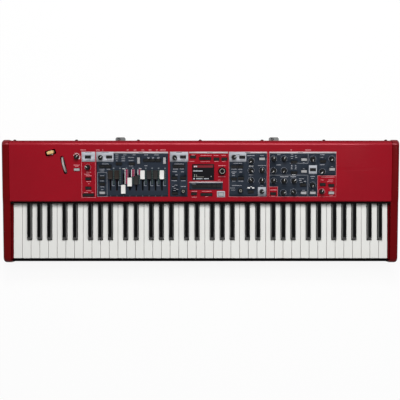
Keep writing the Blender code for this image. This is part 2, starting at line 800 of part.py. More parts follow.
def cheek_outline():
    """Side view of an end cheek, from the floor end of its front, over the top, to the rear."""
    bottom = tray_bottom
    front_slope = math.degrees(PANEL_TILT)
    step_end = fold.y + CHEEK_STEP_LENGTH / 2
    step_start = step_end - CHEEK_STEP_LENGTH
    rear_round = REAR_BEND + CHEEK_ABOVE_PANEL
    outline = [(cheek_front + CHEEK_TOE, bottom), (cheek_front, bottom + CHEEK_TOE)]
    centre_y = cheek_front + CHEEK_FRONT_ROUND
    centre_z = CHEEK_FRONT_HEIGHT - CHEEK_FRONT_ROUND
    outline += arc(centre_y, centre_z, CHEEK_FRONT_ROUND, 180, 90 + front_slope, BEND_STEPS)
    low = (step_start, CHEEK_FRONT_HEIGHT + (step_start - centre_y) * math.tan(PANEL_TILT))
    high = (step_end, panel_height(step_end) + CHEEK_ABOVE_PANEL)
    for i in range(BEND_STEPS + 1):
        s = i / BEND_STEPS
        ease = s * s * (3 - 2 * s)
        outline.append((low[0] + (high[0] - low[0]) * s, low[1] + (high[1] - low[1]) * ease))
    outline += arc(bend_centre.y, bend_centre.z, rear_round, 90 + front_slope, 0, BEND_STEPS)
    outline.append((outline[-1][0], bottom))
    return outline


def build_cheeks(materials):
    outline = cheek_outline()
    for name, side in (("left_end_cheek", -1), ("right_end_cheek", 1)):
        bm = bmesh.new()
        inner = side * inner_half
        outer = side * (inner_half + CHEEK_THICKNESS)
        add_prism(bm, outline, min(inner, outer), max(inner, outer), along_x)
        bm.normal_update()
        rim = []
        for edge in bm.edges:
            start, end = (v.co for v in edge.verts)
            on_outer = abs(start.x - outer) < TINY and abs(end.x - outer) < TINY
            on_foot = max(start.z, end.z) < tray_bottom + TINY
            if on_outer and not on_foot:
                rim.append(edge)
        steps = CHEEK_EDGE_STEPS
        bmesh.ops.bevel(bm, geom=rim, offset=CHEEK_EDGE_ROUND, segments=steps, profile=0.5, affect="EDGES")
        make_object(name, bm, materials["dark_red_paint"])


def build_tray_and_slip(materials):
    bottom = tray_bottom
    inside_front = tray_front + SHEET
    inside_rear = tray_rear - SHEET
    outline = [(tray_front, bottom), (tray_rear, bottom), (tray_rear, TRAY_REAR_LIP)]
    outline += [(inside_rear, TRAY_REAR_LIP), (inside_rear, tray_top), (inside_front, tray_top)]
    outline += [(inside_front, TRAY_FRONT_LIP), (tray_front, TRAY_FRONT_LIP)]
    bm = bmesh.new()
    add_prism(bm, outline, -panel_half, panel_half, along_x)
    make_object("bottom_tray", bm, materials["black_steel"])

    low = bottom + SEAT_GAP
    top = WHITE_TOP - SLIP_BELOW_KEY_TOP
    flange_rear = slip_rear + SLIP_FLANGE
    outline = [(slip_front, low), (flange_rear, low), (flange_rear, SLIP_FLANGE_HEIGHT)]
    outline += [(slip_rear, SLIP_FLANGE_HEIGHT), (slip_rear, top), (slip_front, top)]
    bm = bmesh.new()
    add_prism(bm, outline, -panel_half, panel_half, along_x)
    make_object("key_slip", bm, materials["black_plastic"])

    foot_x = inner_half - FOOT_END_INSET
    foot_front = tray_front + FOOT_FRONT_INSET
    foot_rear = tray_rear - FOOT_REAR_INSET
    for name, x, y in (
        ("front_left_foot", -foot_x, foot_front),
        ("front_right_foot", foot_x, foot_front),
        ("rear_left_foot", -foot_x, foot_rear),
        ("rear_right_foot", foot_x, foot_rear),
    ):
        bm = bmesh.new()
        profile = [(FOOT_RADIUS - FOOT_CHAMFER, 0), (FOOT_RADIUS, FOOT_CHAMFER)]
        profile.append((FOOT_RADIUS, FOOT_HEIGHT - SEAT_GAP))
        add_turned(bm, profile, FOOT_SIDES)
        make_object(name, bm, materials["rubber"], None, (x, y, 0))


# Rear


def add_block(bm, x, z, width, height, y_span):
    """Adds a box centred on (x, z), as seen from behind, between two depths."""
    add_box(bm, (x - width / 2, x + width / 2), y_span, (z - height / 2, z + height / 2))


def build_sockets(materials, cutters):
    """Socket board with its jack, round and square connectors, and their holes in the rear sheet."""
    body_rear = rear_panel_inner - SEAT_GAP
    body_front = body_rear - SOCKET_BODY_DEPTH
    body_y = (body_front - BOARD_THICKNESS / 2, body_rear)
    nose_y = (body_rear - SHEET / 2, socket_rear)
    bore_y = (body_front + SHEET, socket_rear + SHEET)
    bodies = bmesh.new()
    noses = bmesh.new()
    bores = bmesh.new()
    jack_xs = [JACK_FIRST_X + i * JACK_PITCH for i in range(JACK_COUNT)]
    kinds = [(x, JACK_BODY, JACK_BORE, JACK_NOSE_RADIUS, JACK_SIDES) for x in jack_xs]
    kinds += [(x, DIN_BODY, DIN_BORE, DIN_BORE + SHEET, DIN_SIDES) for x in DIN_XS]
    for x, body, bore, nose, sides in kinds:
        add_block(bodies, x, SOCKET_HEIGHT, body, body, body_y)
        add_prism(noses, circle(nose, sides, x, SOCKET_HEIGHT), *nose_y, along_y)
        add_prism(bores, bore_outline(bore, sides, x, SOCKET_HEIGHT), *bore_y, along_y)
        add_prism(cutters, bore_outline(nose + CAP_GAP, sides, x, SOCKET_HEIGHT), *rear_cut, along_y)
    add_block(bodies, USB_X, SOCKET_HEIGHT, USB_WIDTH, USB_HEIGHT, (body_y[0], socket_rear))
    add_block(bores, USB_X, SOCKET_HEIGHT, USB_WIDTH - 2 * USB_WALL, USB_HEIGHT - 2 * USB_WALL, bore_y)
    add_block(cutters, USB_X, SOCKET_HEIGHT, USB_WIDTH + 2 * CAP_GAP, USB_HEIGHT + 2 * CAP_GAP, rear_cut)

    board_x = (jack_xs[0] - JACK_BODY / 2 - SOCKET_BOARD_MARGIN, USB_X + USB_WIDTH / 2 + SOCKET_BOARD_MARGIN)
    socket_board_top = SOCKET_HEIGHT + DIN_BODY / 2 + SOCKET_BOARD_MARGIN
    bm = bmesh.new()
    add_box(bm, board_x, (body_front - BOARD_THICKNESS, body_front), (frame_bottom, socket_board_top))
    sockets = make_object("rear_sockets", bm, materials["black_plastic"])
    boolean(sockets, make_helper("socket_bodies", bodies), "UNION")
    boolean(sockets, make_helper("socket_noses", noses), "UNION")
    boolean(sockets, make_helper("socket_bores", bores), "DIFFERENCE")


def build_inlet(materials, cutters):
    """Mains inlet, hollow towards the rear, and its hole in the rear sheet."""
    bm = bmesh.new()
    add_block(bm, inlet_x, INLET_HEIGHT_Z, INLET_WIDTH, INLET_HEIGHT, (inlet_front, socket_rear))
    inlet = make_object("power_inlet", bm, materials["black_plastic"])
    recess = bmesh.new()
    recess_y = (socket_rear - INLET_RECESS_DEPTH, socket_rear + SHEET)
    add_block(recess, inlet_x, INLET_HEIGHT_Z, INLET_RECESS_WIDTH, INLET_RECESS_HEIGHT, recess_y)
    boolean(inlet, make_helper("inlet_recess", recess), "DIFFERENCE")
    hole_width = INLET_WIDTH + 2 * CAP_GAP
    hole_height = INLET_HEIGHT + 2 * CAP_GAP
    add_block(cutters, inlet_x, INLET_HEIGHT_Z, hole_width, hole_height, rear_cut)


def build_switch(materials, cutters):
    """Rocker switch, at rest with its upper half in, and the hole that clears its swing."""
    edge = SWITCH_HEIGHT / 2
    back = SWITCH_BACK_HEIGHT / 2
    outline = [(-SWITCH_BACK_REACH, -back), (SWITCH_EDGE_REACH, -edge), (SWITCH_RIDGE_REACH, 0)]
    outline += [(SWITCH_EDGE_REACH, edge), (-SWITCH_BACK_REACH, back)]
    place = (switch_x, rear_panel_inner - SWITCH_PIVOT_DEPTH, INLET_HEIGHT_Z)
    bm = bmesh.new()
    add_prism(bm, outline, -SWITCH_WIDTH / 2, SWITCH_WIDTH / 2, along_x)
    switch = make_object("power_switch", bm, materials["black_plastic"], None, place)
    switch.rotation_euler.x = SWITCH_SWING
    sweep = math.hypot(SWITCH_EDGE_REACH, edge)
    corner = math.atan2(edge, SWITCH_EDGE_REACH) + SWITCH_SWING
    hole_height = 2 * (sweep * math.sin(corner) + SWITCH_HOLE_GAP)
    hole_width = SWITCH_WIDTH + 2 * SWITCH_HOLE_GAP
    add_block(cutters, switch_x, INLET_HEIGHT_Z, hole_width, hole_height, rear_cut)


def build_supply(materials):
    """Power supply behind the keybed, ahead of the mains inlet."""
    right = inlet_x + SUPPLY_PAST_INLET
    rear = inlet_front - SUPPLY_GAP
    z_span = (frame_bottom, frame_bottom + SUPPLY_HEIGHT)
    bm = bmesh.new()
    add_box(bm, (right - SUPPLY_LENGTH, right), (rear - SUPPLY_DEPTH, rear), z_span)
    make_object("power_supply", bm, materials["bare_aluminium"])


def build_rear(materials):
    """Rear sheet, cut round its sockets, mains inlet and switch, with the brackets on it."""
    bm = bmesh.new()
    y_span = (rear_panel_inner, rear_panel_outer)
    add_box(bm, (-panel_half, panel_half), y_span, (frame_bottom, bend_centre.z))
    rear = make_object("rear_panel", bm, materials["black_steel"])
    cutters = bmesh.new()
    build_sockets(materials, cutters)
    build_inlet(materials, cutters)
    build_switch(materials, cutters)
    boolean(rear, make_helper("rear_cutouts", cutters), "DIFFERENCE")
    build_supply(materials)
    build_brackets(materials)


def build_brackets(materials):
    """Angle brackets on the rear sheet, with a tab for a stand or cover behind the body."""
    leg_front = rear_panel_outer + SEAT_GAP
    tab_rear = rear_face + BRACKET_REACH
    half = BRACKET_WIDTH / 2
    tab_low = BRACKET_TOP - BRACKET_SHEET
    leg_low = BRACKET_TOP - BRACKET_LEG
    leg_rear = leg_front + BRACKET_SHEET
    side_view = [(leg_front, leg_low), (leg_rear, leg_low), (leg_rear, tab_low)]
    side_view += [(tab_rear, tab_low), (tab_rear, BRACKET_TOP), (leg_front, BRACKET_TOP)]
    hole_y = (rear_face + tab_rear) / 2
    for name, x in zip(("left_stand_bracket", "right_stand_bracket"), BRACKET_XS):
        bm = bmesh.new()
        add_prism(bm, side_view, x - half, x + half, along_x)
        corners = []
        for edge in bm.edges:
            start, end = (v.co for v in edge.verts)
            upright = abs(start.x - end.x) < TINY
            if upright and abs(start.y - tab_rear) < TINY and abs(end.y - tab_rear) < TINY:
                corners.append(edge)
        bmesh.ops.bevel(bm, geom=corners, offset=BRACKET_CORNER, segments=1, affect="EDGES")
        bracket = make_object(name, bm, materials["bracket_grey"])
        hole = bmesh.new()
        outline = bore_outline(BRACKET_HOLE, BRACKET_HOLE_SIDES, x + BRACKET_HOLE_OFFSET, hole_y)
        add_prism(hole, outline, tab_low - SHEET, BRACKET_TOP + SHEET, along_z)
        boolean(bracket, make_helper(f"{name}_hole", hole), "DIFFERENCE")


# Controls, in the panel's own frame: x across, v up the slope, w out of the face


def rect_box(bm, rect, low, high):
    add_box(bm, (rect[0], rect[1]), (rect[2], rect[3]), (low, high))


def turned_rect(x, v, half_along, half_across, turn):
    """Corners of a rectangle turned in the panel's plane."""
    along = Vector((math.cos(turn), math.sin(turn)))
    across = Vector((-math.sin(turn), math.cos(turn)))
    corners = []
    for a, b in ((-1, -1), (1, -1), (1, 1), (-1, 1)):
        point = Vector((x, v)) + along * (a * half_along) + across * (b * half_across)
        corners.append((point.x, point.y))
    return corners


def button_halves(kind):
    width, length = BUTTON_KINDS[kind]
    return width / 2, length / 2


def knob_profile(radius, height, bottom):
    """Shaft and cap of a knob as (radius, height), from the shaft's foot up."""
    shaft = [(SHAFT_RADIUS, bottom), (SHAFT_RADIUS, KNOB_LIFT)]
    return shaft + [(radius, KNOB_LIFT), (radius - KNOB_TAPER, height)]


def lever_ears(bm, x, v, turn, inner_gap, depth):
    """Two ears under the panel that carry a lever's pin, square to the lever's swing."""
    side = Vector((-math.sin(turn), math.cos(turn)))
    for sign in (-1, 1):
        offset = side * (sign * (inner_gap + EAR_THICKNESS / 2))
        outline = turned_rect(x + offset.x, v + offset.y, EAR_LENGTH / 2, EAR_THICKNESS / 2, turn)
        add_prism(bm, outline, -depth - EAR_LENGTH / 2, -SHEET / 2, along_z)


def add_pin(bm, x, v, turn, radius, half_length, depth):
    """Adds a pin across a lever's swing."""
    spin = Matrix.Translation((x, v, -depth)) @ Matrix.Rotation(turn, 4, "Z")
    points = []
    for end in (-half_length, half_length):
        points.append([spin @ Vector((a, end, b)) for a, b in circle(radius, PIN_SIDES)])
    add_loft(bm, points)


def build_levers(materials, plane, panel, ears, slots):
    """The pitch stick and the modulation wheel, each on a pin between two ears."""
    stick_reach = STICK_LENGTH / 2 + STICK_PIVOT_DEPTH * math.sin(STICK_SWING) + STICK_SLOT_GAP
    stick_gap = STICK_WIDTH / 2 + STICK_SLOT_GAP
    slot = turned_rect(STICK_X, STICK_V, stick_reach, stick_gap, STICK_TURN)
    add_prism(slots, slot, *panel_cut, along_z)
    stick_ear_gap = stick_gap + SLIDE_GAP
    lever_ears(ears, STICK_X, STICK_V, STICK_TURN, stick_ear_gap, STICK_PIVOT_DEPTH)

    wheel_turn = WHEEL_TURN - math.pi / 2
    wheel_gap = WHEEL_WIDTH / 2 + WHEEL_SLOT_GAP
    depth_under = WHEEL_DEPTH - SHEET
    wheel_reach = math.sqrt(WHEEL_RADIUS**2 - depth_under**2) + WHEEL_SLOT_GAP
    slot = turned_rect(WHEEL_X, WHEEL_V, wheel_reach, wheel_gap, wheel_turn)
    add_prism(slots, slot, *panel_cut, along_z)
    wheel_ear_gap = wheel_gap + SLIDE_GAP
    lever_ears(ears, WHEEL_X, WHEEL_V, wheel_turn, wheel_ear_gap, WHEEL_DEPTH)

    bores = bmesh.new()
    through = EAR_THICKNESS * 2
    bore = LEVER_PIN_RADIUS + PIN_RUNNING_GAP
    add_pin(bores, STICK_X, STICK_V, STICK_TURN, bore, stick_ear_gap + through, STICK_PIVOT_DEPTH)
    add_pin(bores, WHEEL_X, WHEEL_V, wheel_turn, bore, wheel_ear_gap + through, WHEEL_DEPTH)
    boolean(panel, make_helper("lever_ears", ears, plane), "UNION")
    boolean(panel, make_helper("pin_bores", bores, plane), "DIFFERENCE")

    # Stick: a tapered block on a narrow neck, with its origin on the pin's axis
    bm = bmesh.new()
    neck = STICK_NECK / 2
    half_l = STICK_LENGTH / 2
    half_w = STICK_WIDTH / 2
    skirt = STICK_PIVOT_DEPTH - STICK_SKIRT
    top = STICK_PIVOT_DEPTH + STICK_HEIGHT
    shape = [(neck, neck, -neck), (neck, neck, skirt), (half_l, half_w, skirt)]
    shape.append((half_l, half_w, top - 2 * STICK_EASE))
    shape.append((half_l - STICK_EASE, half_w - STICK_EASE, top))
    add_loft(bm, [[(-a, -b, z), (a, -b, z), (a, b, z), (-a, b, z)] for a, b, z in shape])
    stick = make_object("pitch_stick", bm, materials["wood"], plane, (STICK_X, STICK_V, -STICK_PIVOT_DEPTH))
    stick.rotation_euler.z = STICK_TURN
    pin = bmesh.new()
    half_pin = stick_ear_gap + EAR_THICKNESS
    add_pin(pin, STICK_X, STICK_V, STICK_TURN, LEVER_PIN_RADIUS, half_pin, STICK_PIVOT_DEPTH)
    boolean(stick, make_helper("stick_pin", pin, plane), "UNION")

    # Wheel: a disc with eased rims, turned about its pin
    bm = bmesh.new()
    half = WHEEL_WIDTH / 2
    eased = WHEEL_RADIUS - WHEEL_RIM_EASE
    shoulder = half - WHEEL_RIM_EASE
    rows = ((eased, -half), (WHEEL_RADIUS, -shoulder), (WHEEL_RADIUS, shoulder), (eased, half))
    add_loft(bm, [[(a, y, b) for a, b in circle(r, WHEEL_SIDES)] for r, y in rows])
    wheel = make_object("mod_wheel", bm, materials["stone"], plane, (WHEEL_X, WHEEL_V, -WHEEL_DEPTH))
    wheel.rotation_euler.z = wheel_turn
    pin = bmesh.new()
    half_pin = wheel_ear_gap + EAR_THICKNESS
    add_pin(pin, WHEEL_X, WHEEL_V, wheel_turn, LEVER_PIN_RADIUS, half_pin, WHEEL_DEPTH)
    boolean(wheel, make_helper("wheel_pin", pin, plane), "UNION")


def build_drawbars(materials, plane, slots):
    """Drawbars on stems that slide in slots down the panel, each at its own setting."""
    finishes = {
        "brown": materials["drawbar_brown"],
        "white": materials["drawbar_white"],
        "black": materials["black_plastic"],
    }
    slot_half = STEM_WIDTH / 2 + CAP_GAP
    far = DRAWBAR_HOME_V + STEM_LENGTH / 2 + CAP_GAP
    near = DRAWBAR_HOME_V - DRAWBAR_STEP * DRAWBAR_STEPS - STEM_LENGTH / 2 - CAP_GAP
    half_x = DRAWBAR_WIDTH / 2
    half_v = DRAWBAR_LENGTH / 2
    shoulder = DRAWBAR_HEIGHT - DRAWBAR_CROWN
    stem = (STEM_WIDTH / 2, STEM_LENGTH / 2)
    shape = [(*stem, stem_bottom), (*stem, KNOB_LIFT), (half_x, half_v, KNOB_LIFT)]
    shape.append((half_x, half_v, shoulder))
    shape.append((half_x - DRAWBAR_CROWN_INSET, half_v - DRAWBAR_CROWN_INSET, DRAWBAR_HEIGHT))
    for i in range(DRAWBAR_COUNT):
        x = DRAWBAR_FIRST_X + i * DRAWBAR_PITCH
        v = DRAWBAR_HOME_V - DRAWBAR_VALUES[i] * DRAWBAR_STEP
        add_box(slots, (x - slot_half, x + slot_half), (near, far), panel_cut)
        bm = bmesh.new()
        add_loft(bm, [[(-a, -b, z), (a, -b, z), (a, b, z), (-a, b, z)] for a, b, z in shape])
        make_object(f"drawbar_{i + 1}", bm, finishes[DRAWBAR_COLOURS[i]], plane, (x, v, 0))


def build_mats(materials, plane, slots, shafts, display_window):
    """Silicone mats under the panel, each with its button caps standing through the sheet."""
    left, right, low, high = LEFT_MAT_RECT
    upper = UPPER_MAT_RECT
    left_outline = [(left, low), (right, low), (right, upper[2])]
    left_outline += [(upper[1], upper[2]), (upper[1], high), (left, high)]
    mats = (
        ("left_button_mat", left_outline, LEFT_BUTTONS, LEFT_BANKS),
        ("centre_button_mat", rect_outline(CENTRE_MAT_RECT), CENTRE_BUTTONS, CENTRE_BANKS),
        ("right_button_mat", rect_outline(RIGHT_MAT_RECT), RIGHT_BUTTONS, RIGHT_BANKS),
    )
    for name, outline, singles, banks in mats:
        bm = bmesh.new()
        add_prism(bm, outline, MAT_TOP - MAT_THICKNESS, MAT_TOP, along_z)
        mat = make_object(name, bm, materials["silicone"], plane)
        caps = bmesh.new()
        rows = [(kind, x, v, 1, 0) for kind, x, v in singles] + list(banks)
        cap_w = (MAT_TOP - MAT_THICKNESS / 2, CAP_HEIGHT)
        for kind, first, v, count, pitch in rows:
            half_x, half_v = button_halves(kind)
            for x in [first + i * pitch for i in range(count)]:
                add_box(caps, (x - half_x, x + half_x), (v - half_v, v + half_v), cap_w)
            hole_x = half_x + CAP_GAP
            hole_v = half_v + CAP_GAP
            last = first + (count - 1) * pitch
            add_box(slots, (first - hole_x, last + hole_x), (v - hole_v, v + hole_v), panel_cut)
        boolean(mat, shafts, "DIFFERENCE")
        if name.startswith("centre"):
            boolean(mat, display_window, "DIFFERENCE")
        boolean(mat, make_helper(f"{name}_caps", caps, plane), "UNION")


def rect_outline(rect):
    return [(rect[0], rect[2]), (rect[1], rect[2]), (rect[1], rect[3]), (rect[0], rect[3])]


def build_board(materials, plane):
    """Circuit board under the panel, with its pots, their knobs, the display block and standoffs."""
    bm = bmesh.new()
    rect_box(bm, BOARD_RECT, board_top - BOARD_THICKNESS, board_top)
    board = make_object("control_board", bm, materials["board_green"], plane)
    parts = bmesh.new()
    sink = board_top - BOARD_THICKNESS / 2
    for x, v in BOARD_KNOBS:
        add_turned(parts, knob_profile(KNOB_RADIUS, KNOB_HEIGHT, sink), BOARD_KNOB_SIDES, x, v)
    for x, v in STANDOFFS:
        add_turned(parts, [(STANDOFF_RADIUS, sink), (STANDOFF_RADIUS, -SHEET - SEAT_GAP)], 6, x, v)
    half_w = DISPLAY_WIDTH / 2
    half_d = DISPLAY_DEPTH / 2
    display_x = (DISPLAY_X - half_w, DISPLAY_X + half_w)
    display_v = (DISPLAY_V - half_d, DISPLAY_V + half_d)
    add_box(parts, display_x, display_v, (sink, LENS_BOTTOM - SEAT_GAP))
    boolean(board, make_helper("board_parts", parts, plane), "UNION")
    bm = bmesh.new()
    rect_box(bm, (-half_w, half_w, -half_d, half_d), LENS_BOTTOM, LENS_TOP)
    make_object("display_lens", bm, materials["display_glass"], plane, (DISPLAY_X, DISPLAY_V, 0))


def build_turning_knobs(materials, plane, shafts):
    """Knobs and dial on shafts of their own, and the shaft holes of every knob."""
    hole = (SHAFT_RADIUS + SHAFT_GAP) / math.cos(math.pi / SHAFT_HOLE_SIDES)
    hole_low = board_top + SEAT_GAP * 2
    shaft_low = board_top + SEAT_GAP
    for name, (x, v) in TURNING_KNOBS.items():
        bm = bmesh.new()
        add_turned(bm, knob_profile(KNOB_RADIUS, KNOB_HEIGHT, shaft_low), KNOB_SIDES)
        make_object(name, bm, materials["black_plastic"], plane, (x, v, 0))
    bm = bmesh.new()
    add_turned(bm, knob_profile(DIAL_RADIUS, DIAL_HEIGHT, shaft_low), DIAL_SIDES)
    make_object("program_dial", bm, materials["black_plastic"], plane, (*DIAL_PLACE, 0))
    for x, v in [*TURNING_KNOBS.values(), DIAL_PLACE, *BOARD_KNOBS]:
        add_turned(shafts, [(hole, hole_low), (hole, SHEET)], SHAFT_HOLE_SIDES, x, v)


def build_controls(materials, panel):
    plane = bpy.data.objects.new("panel_plane", None)
    plane.location = fold
    plane.rotation_euler.x = PANEL_TILT
    bpy.context.scene.collection.objects.link(plane)

    slots = bmesh.new()
    ears = bmesh.new()
    shafts = bmesh.new()
    window = bmesh.new()
    half_w = DISPLAY_WIDTH / 2 + CAP_GAP
    half_d = DISPLAY_DEPTH / 2 + CAP_GAP
    frame = (DISPLAY_X - half_w, DISPLAY_X + half_w, DISPLAY_V - half_d, DISPLAY_V + half_d)
    rect_box(window, frame, board_top + SEAT_GAP * 2, SHEET)
    display_window = make_helper("display_window", window, plane)
    build_turning_knobs(materials, plane, shafts)
    shaft_holes = make_helper("shaft_holes", shafts, plane)
    build_levers(materials, plane, panel, ears, slots)
    build_drawbars(materials, plane, slots)
    build_mats(materials, plane, slots, shaft_holes, display_window)
    build_board(materials, plane)
    boolean(panel, make_helper("panel_slots", slots, plane), "DIFFERENCE")
    boolean(panel, shaft_holes, "DIFFERENCE")
    boolean(panel, display_window, "DIFFERENCE")


def main():
    for leftover in list(bpy.data.objects):
        bpy.data.objects.remove(leftover, do_unlink=True)
    materials = make_materials()
    bm = bmesh.new()
    groove_half = frame_half + SHEET
    add_prism(bm, bore_outline(groove_radius, ROD_SIDES), -groove_half, groove_half, along_x)
    groove = make_helper("pivot_groove", bm, None, (0, pivot_y, pivot_z))
    build_keys(materials, groove)
    build_keybed(materials, groove)
    build_cheeks(materials)
    build_tray_and_slip(materials)
    build_rear(materials)
    panel = build_panel_sheet(materials)
    build_controls(materials, panel)


main()
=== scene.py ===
import json
import math

import bmesh
import bpy
import mathutils
import numpy as np
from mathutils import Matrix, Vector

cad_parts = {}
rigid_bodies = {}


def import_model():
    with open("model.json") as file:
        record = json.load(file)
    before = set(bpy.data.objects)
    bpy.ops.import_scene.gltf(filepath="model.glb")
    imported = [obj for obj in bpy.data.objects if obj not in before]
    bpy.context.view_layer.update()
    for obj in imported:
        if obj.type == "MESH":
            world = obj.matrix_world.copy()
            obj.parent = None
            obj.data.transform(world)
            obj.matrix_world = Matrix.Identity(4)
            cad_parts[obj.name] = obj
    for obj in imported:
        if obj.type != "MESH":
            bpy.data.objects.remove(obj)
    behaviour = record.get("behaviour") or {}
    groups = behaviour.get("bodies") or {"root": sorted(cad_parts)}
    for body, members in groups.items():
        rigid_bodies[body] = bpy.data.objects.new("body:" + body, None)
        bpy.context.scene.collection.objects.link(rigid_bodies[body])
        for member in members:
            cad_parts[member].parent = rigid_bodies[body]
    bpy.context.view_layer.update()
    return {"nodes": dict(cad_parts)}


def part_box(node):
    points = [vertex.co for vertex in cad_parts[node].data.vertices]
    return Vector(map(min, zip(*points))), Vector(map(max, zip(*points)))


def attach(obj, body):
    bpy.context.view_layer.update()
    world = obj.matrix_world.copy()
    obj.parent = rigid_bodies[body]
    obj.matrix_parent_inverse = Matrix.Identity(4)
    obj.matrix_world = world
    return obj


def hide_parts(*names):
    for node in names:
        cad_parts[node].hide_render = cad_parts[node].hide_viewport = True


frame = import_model()
print("frame loaded:", len(frame["nodes"]), "nodes")

# The panel's own frame: x across, v up the slope from the front fold, w out of the face, in metres
panelPlane = {"foldY": -0.002, "foldZ": 0.098, "tilt": math.radians(3.8), "slope": 0.1488, "sheet": 0.002}
tiltCos, tiltSin = math.cos(panelPlane["tilt"]), math.sin(panelPlane["tilt"])


# A panel point (x, v, w) stands at y = foldY + v cos(tilt) - w sin(tilt), z = foldZ + v sin(tilt) + w cos(tilt)
def onPanel(points):
    x, v, w = np.moveaxis(np.asarray(points, float), -1, 0)
    y = panelPlane["foldY"] + v * tiltCos - w * tiltSin
    z = panelPlane["foldZ"] + v * tiltSin + w * tiltCos
    return np.stack([x, y, z], -1)


# The same turn the other way: world points back to (x, v, w)
def offPanel(points):
    x, y, z = np.moveaxis(np.asarray(points, float), -1, 0)
    y = y - panelPlane["foldY"]
    z = z - panelPlane["foldZ"]
    return np.stack([x, y * tiltCos + z * tiltSin, z * tiltCos - y * tiltSin], -1)


# Corner numbers of the quads of a grid of rows by columns; a closed grid wraps round its columns
def gridQuads(rows, columns, closed=False):
    row = np.arange(rows - 1)[:, None] * columns
    column = np.arange(columns if closed else columns - 1)[None, :]
    after = (column + 1) % columns
    corners = [row + column, row + after, row + columns + after, row + columns + column]
    return np.stack(corners, -1).reshape(-1, 4)


# A stack of closed rings (k, n, 3), joined ring to ring by quads and shut by the first and last ring
def stackRings(rings):
    levels, count = rings.shape[:2]
    caps = [np.arange(count)[::-1], np.arange(count) + (levels - 1) * count]
    return rings.reshape(-1, 3), gridQuads(levels, count, True), caps


# One surface repeated at each place: every copy is the first one shifted by its place
def copies(surface, places):
    points, quads, caps = surface
    shift = np.arange(len(places)) * len(points)
    moved = (points[None] + np.asarray(places, float)[:, None]).reshape(-1, 3)
    quads = (quads[None] + shift[:, None, None]).reshape(-1, 4)
    return moved, quads, [cap + step for step in shift for cap in caps]


# Several surfaces as one
def joined(surfaces):
    points, quads, caps, total = [], [], [], 0
    for somePoints, someQuads, someCaps in surfaces:
        points.append(somePoints)
        quads.append(someQuads + total)
        caps += [cap + total for cap in someCaps]
        total += len(somePoints)
    return np.concatenate(points), np.concatenate(quads), caps


# Tables of places are typed in millimetres
def millimetres(rows):
    return np.array(rows, float) / 1000


# A surface made in (x, v, w), put on the panel
def laidOnPanel(surface):
    return onPanel(surface[0]), surface[1], surface[2]


# Rounded rectangle: four quarter circles of one radius, centred on the corners of the inner rectangle
def roundedRect(width, length, radius, steps=4):
    turns = np.linspace(0, math.pi / 2, steps + 1)
    x, y = np.cos(turns) * radius, np.sin(turns) * radius
    a, b = width / 2 - radius, length / 2 - radius
    quarters = [(x + a, y + b), (-y - a, x + b), (-x - a, -y - b), (y + a, -x - b)]
    return np.concatenate([np.column_stack(quarter) for quarter in quarters])


# Rounded rectangle carried up through (inset, height) rows: each ring is the outline drawn in by its inset
def rectStack(width, length, radius, rows, steps=4):
    rings = []
    for inset, height in rows:
        outline = roundedRect(width - 2 * inset, length - 2 * inset, max(radius - inset, 0.00008), steps)
        rings.append(np.column_stack([outline, np.full(len(outline), height)]))
    return stackRings(np.array(rings))


# Rows of (inset, height): a straight side up from bottom, then a quarter round of the radius up to top
def easedRows(bottom, top, radius, steps=3):
    turns = np.linspace(0, math.pi / 2, steps + 1)
    rows = np.column_stack([radius * (1 - np.cos(turns)), top - radius + radius * np.sin(turns)])
    return np.vstack([[0.0, bottom], rows])


# Directions of the corners of a closed ring
def ringTurns(sides):
    return 2 * math.pi * np.arange(sides) / sides


# An outline in (y, z) drawn along x through the given stations
def drawnAlong(stations, y, z):
    return stackRings(np.stack(np.broadcast_arrays(stations[:, None], y, z), -1))


# Turned shape: radius r(h) times 1 + ripple(h) cos(flutes * turn), stacked over the heights
def turnedStack(rows, sides, flutes=0):
    rows = np.array([tuple(row) + (0.0,) * (3 - len(row)) for row in rows])
    turn = ringTurns(sides)
    radius = rows[:, :1] * (1 + rows[:, 2:3] * np.cos(flutes * turn)[None])
    height = np.broadcast_to(rows[:, 1:2], radius.shape)
    return stackRings(np.stack([radius * np.cos(turn), radius * np.sin(turn), height], -1))


# Thin bars: each is a box about (x, v), its length laid along its turn, between two heights
def bars(x, v, length, width, turn, low, high):
    values = [np.atleast_1d(np.asarray(value, float)) for value in (x, v, length, width, turn)]
    x, v, length, width, turn = np.broadcast_arrays(*values)
    along = np.array([-1, 1, 1, -1]) * length[:, None] / 2
    across = np.array([-1, -1, 1, 1]) * width[:, None] / 2
    cos, sin = np.cos(turn)[:, None], np.sin(turn)[:, None]
    a = x[:, None] + along * cos - across * sin
    b = v[:, None] + along * sin + across * cos
    rings = np.stack([np.stack([a, b, np.full_like(a, w)], -1) for w in (low, high)], 1)
    count = len(x)
    quads = gridQuads(2, 4, True)
    quads = np.vstack([quads, [3, 2, 1, 0], [4, 5, 6, 7]])
    quads = (quads[None] + 8 * np.arange(count)[:, None, None]).reshape(-1, 4)
    return rings.reshape(-1, 3), quads, []


# The same bars given as rectangles (x from, x to, v from, v to)
def plates(rects, low, high):
    rects = np.atleast_2d(np.asarray(rects, float))
    x, v = (rects[:, 0] + rects[:, 1]) / 2, (rects[:, 2] + rects[:, 3]) / 2
    return bars(x, v, rects[:, 1] - rects[:, 0], rects[:, 3] - rects[:, 2], 0, low, high)


# The four bars that run round a rectangle
def outlineBars(rects, width, low, high):
    x0, x1, v0, v1 = np.atleast_2d(np.asarray(rects, float)).T
    half = width / 2
    sides = [(x0 - half, x1 + half, v0 - half, v0 + half), (x0 - half, x1 + half, v1 - half, v1 + half)]
    sides += [(x0 - half, x0 + half, v0 + half, v1 - half), (x1 - half, x1 + half, v0 + half, v1 - half)]
    return plates(np.concatenate([np.stack(side, -1) for side in sides]), low, high)


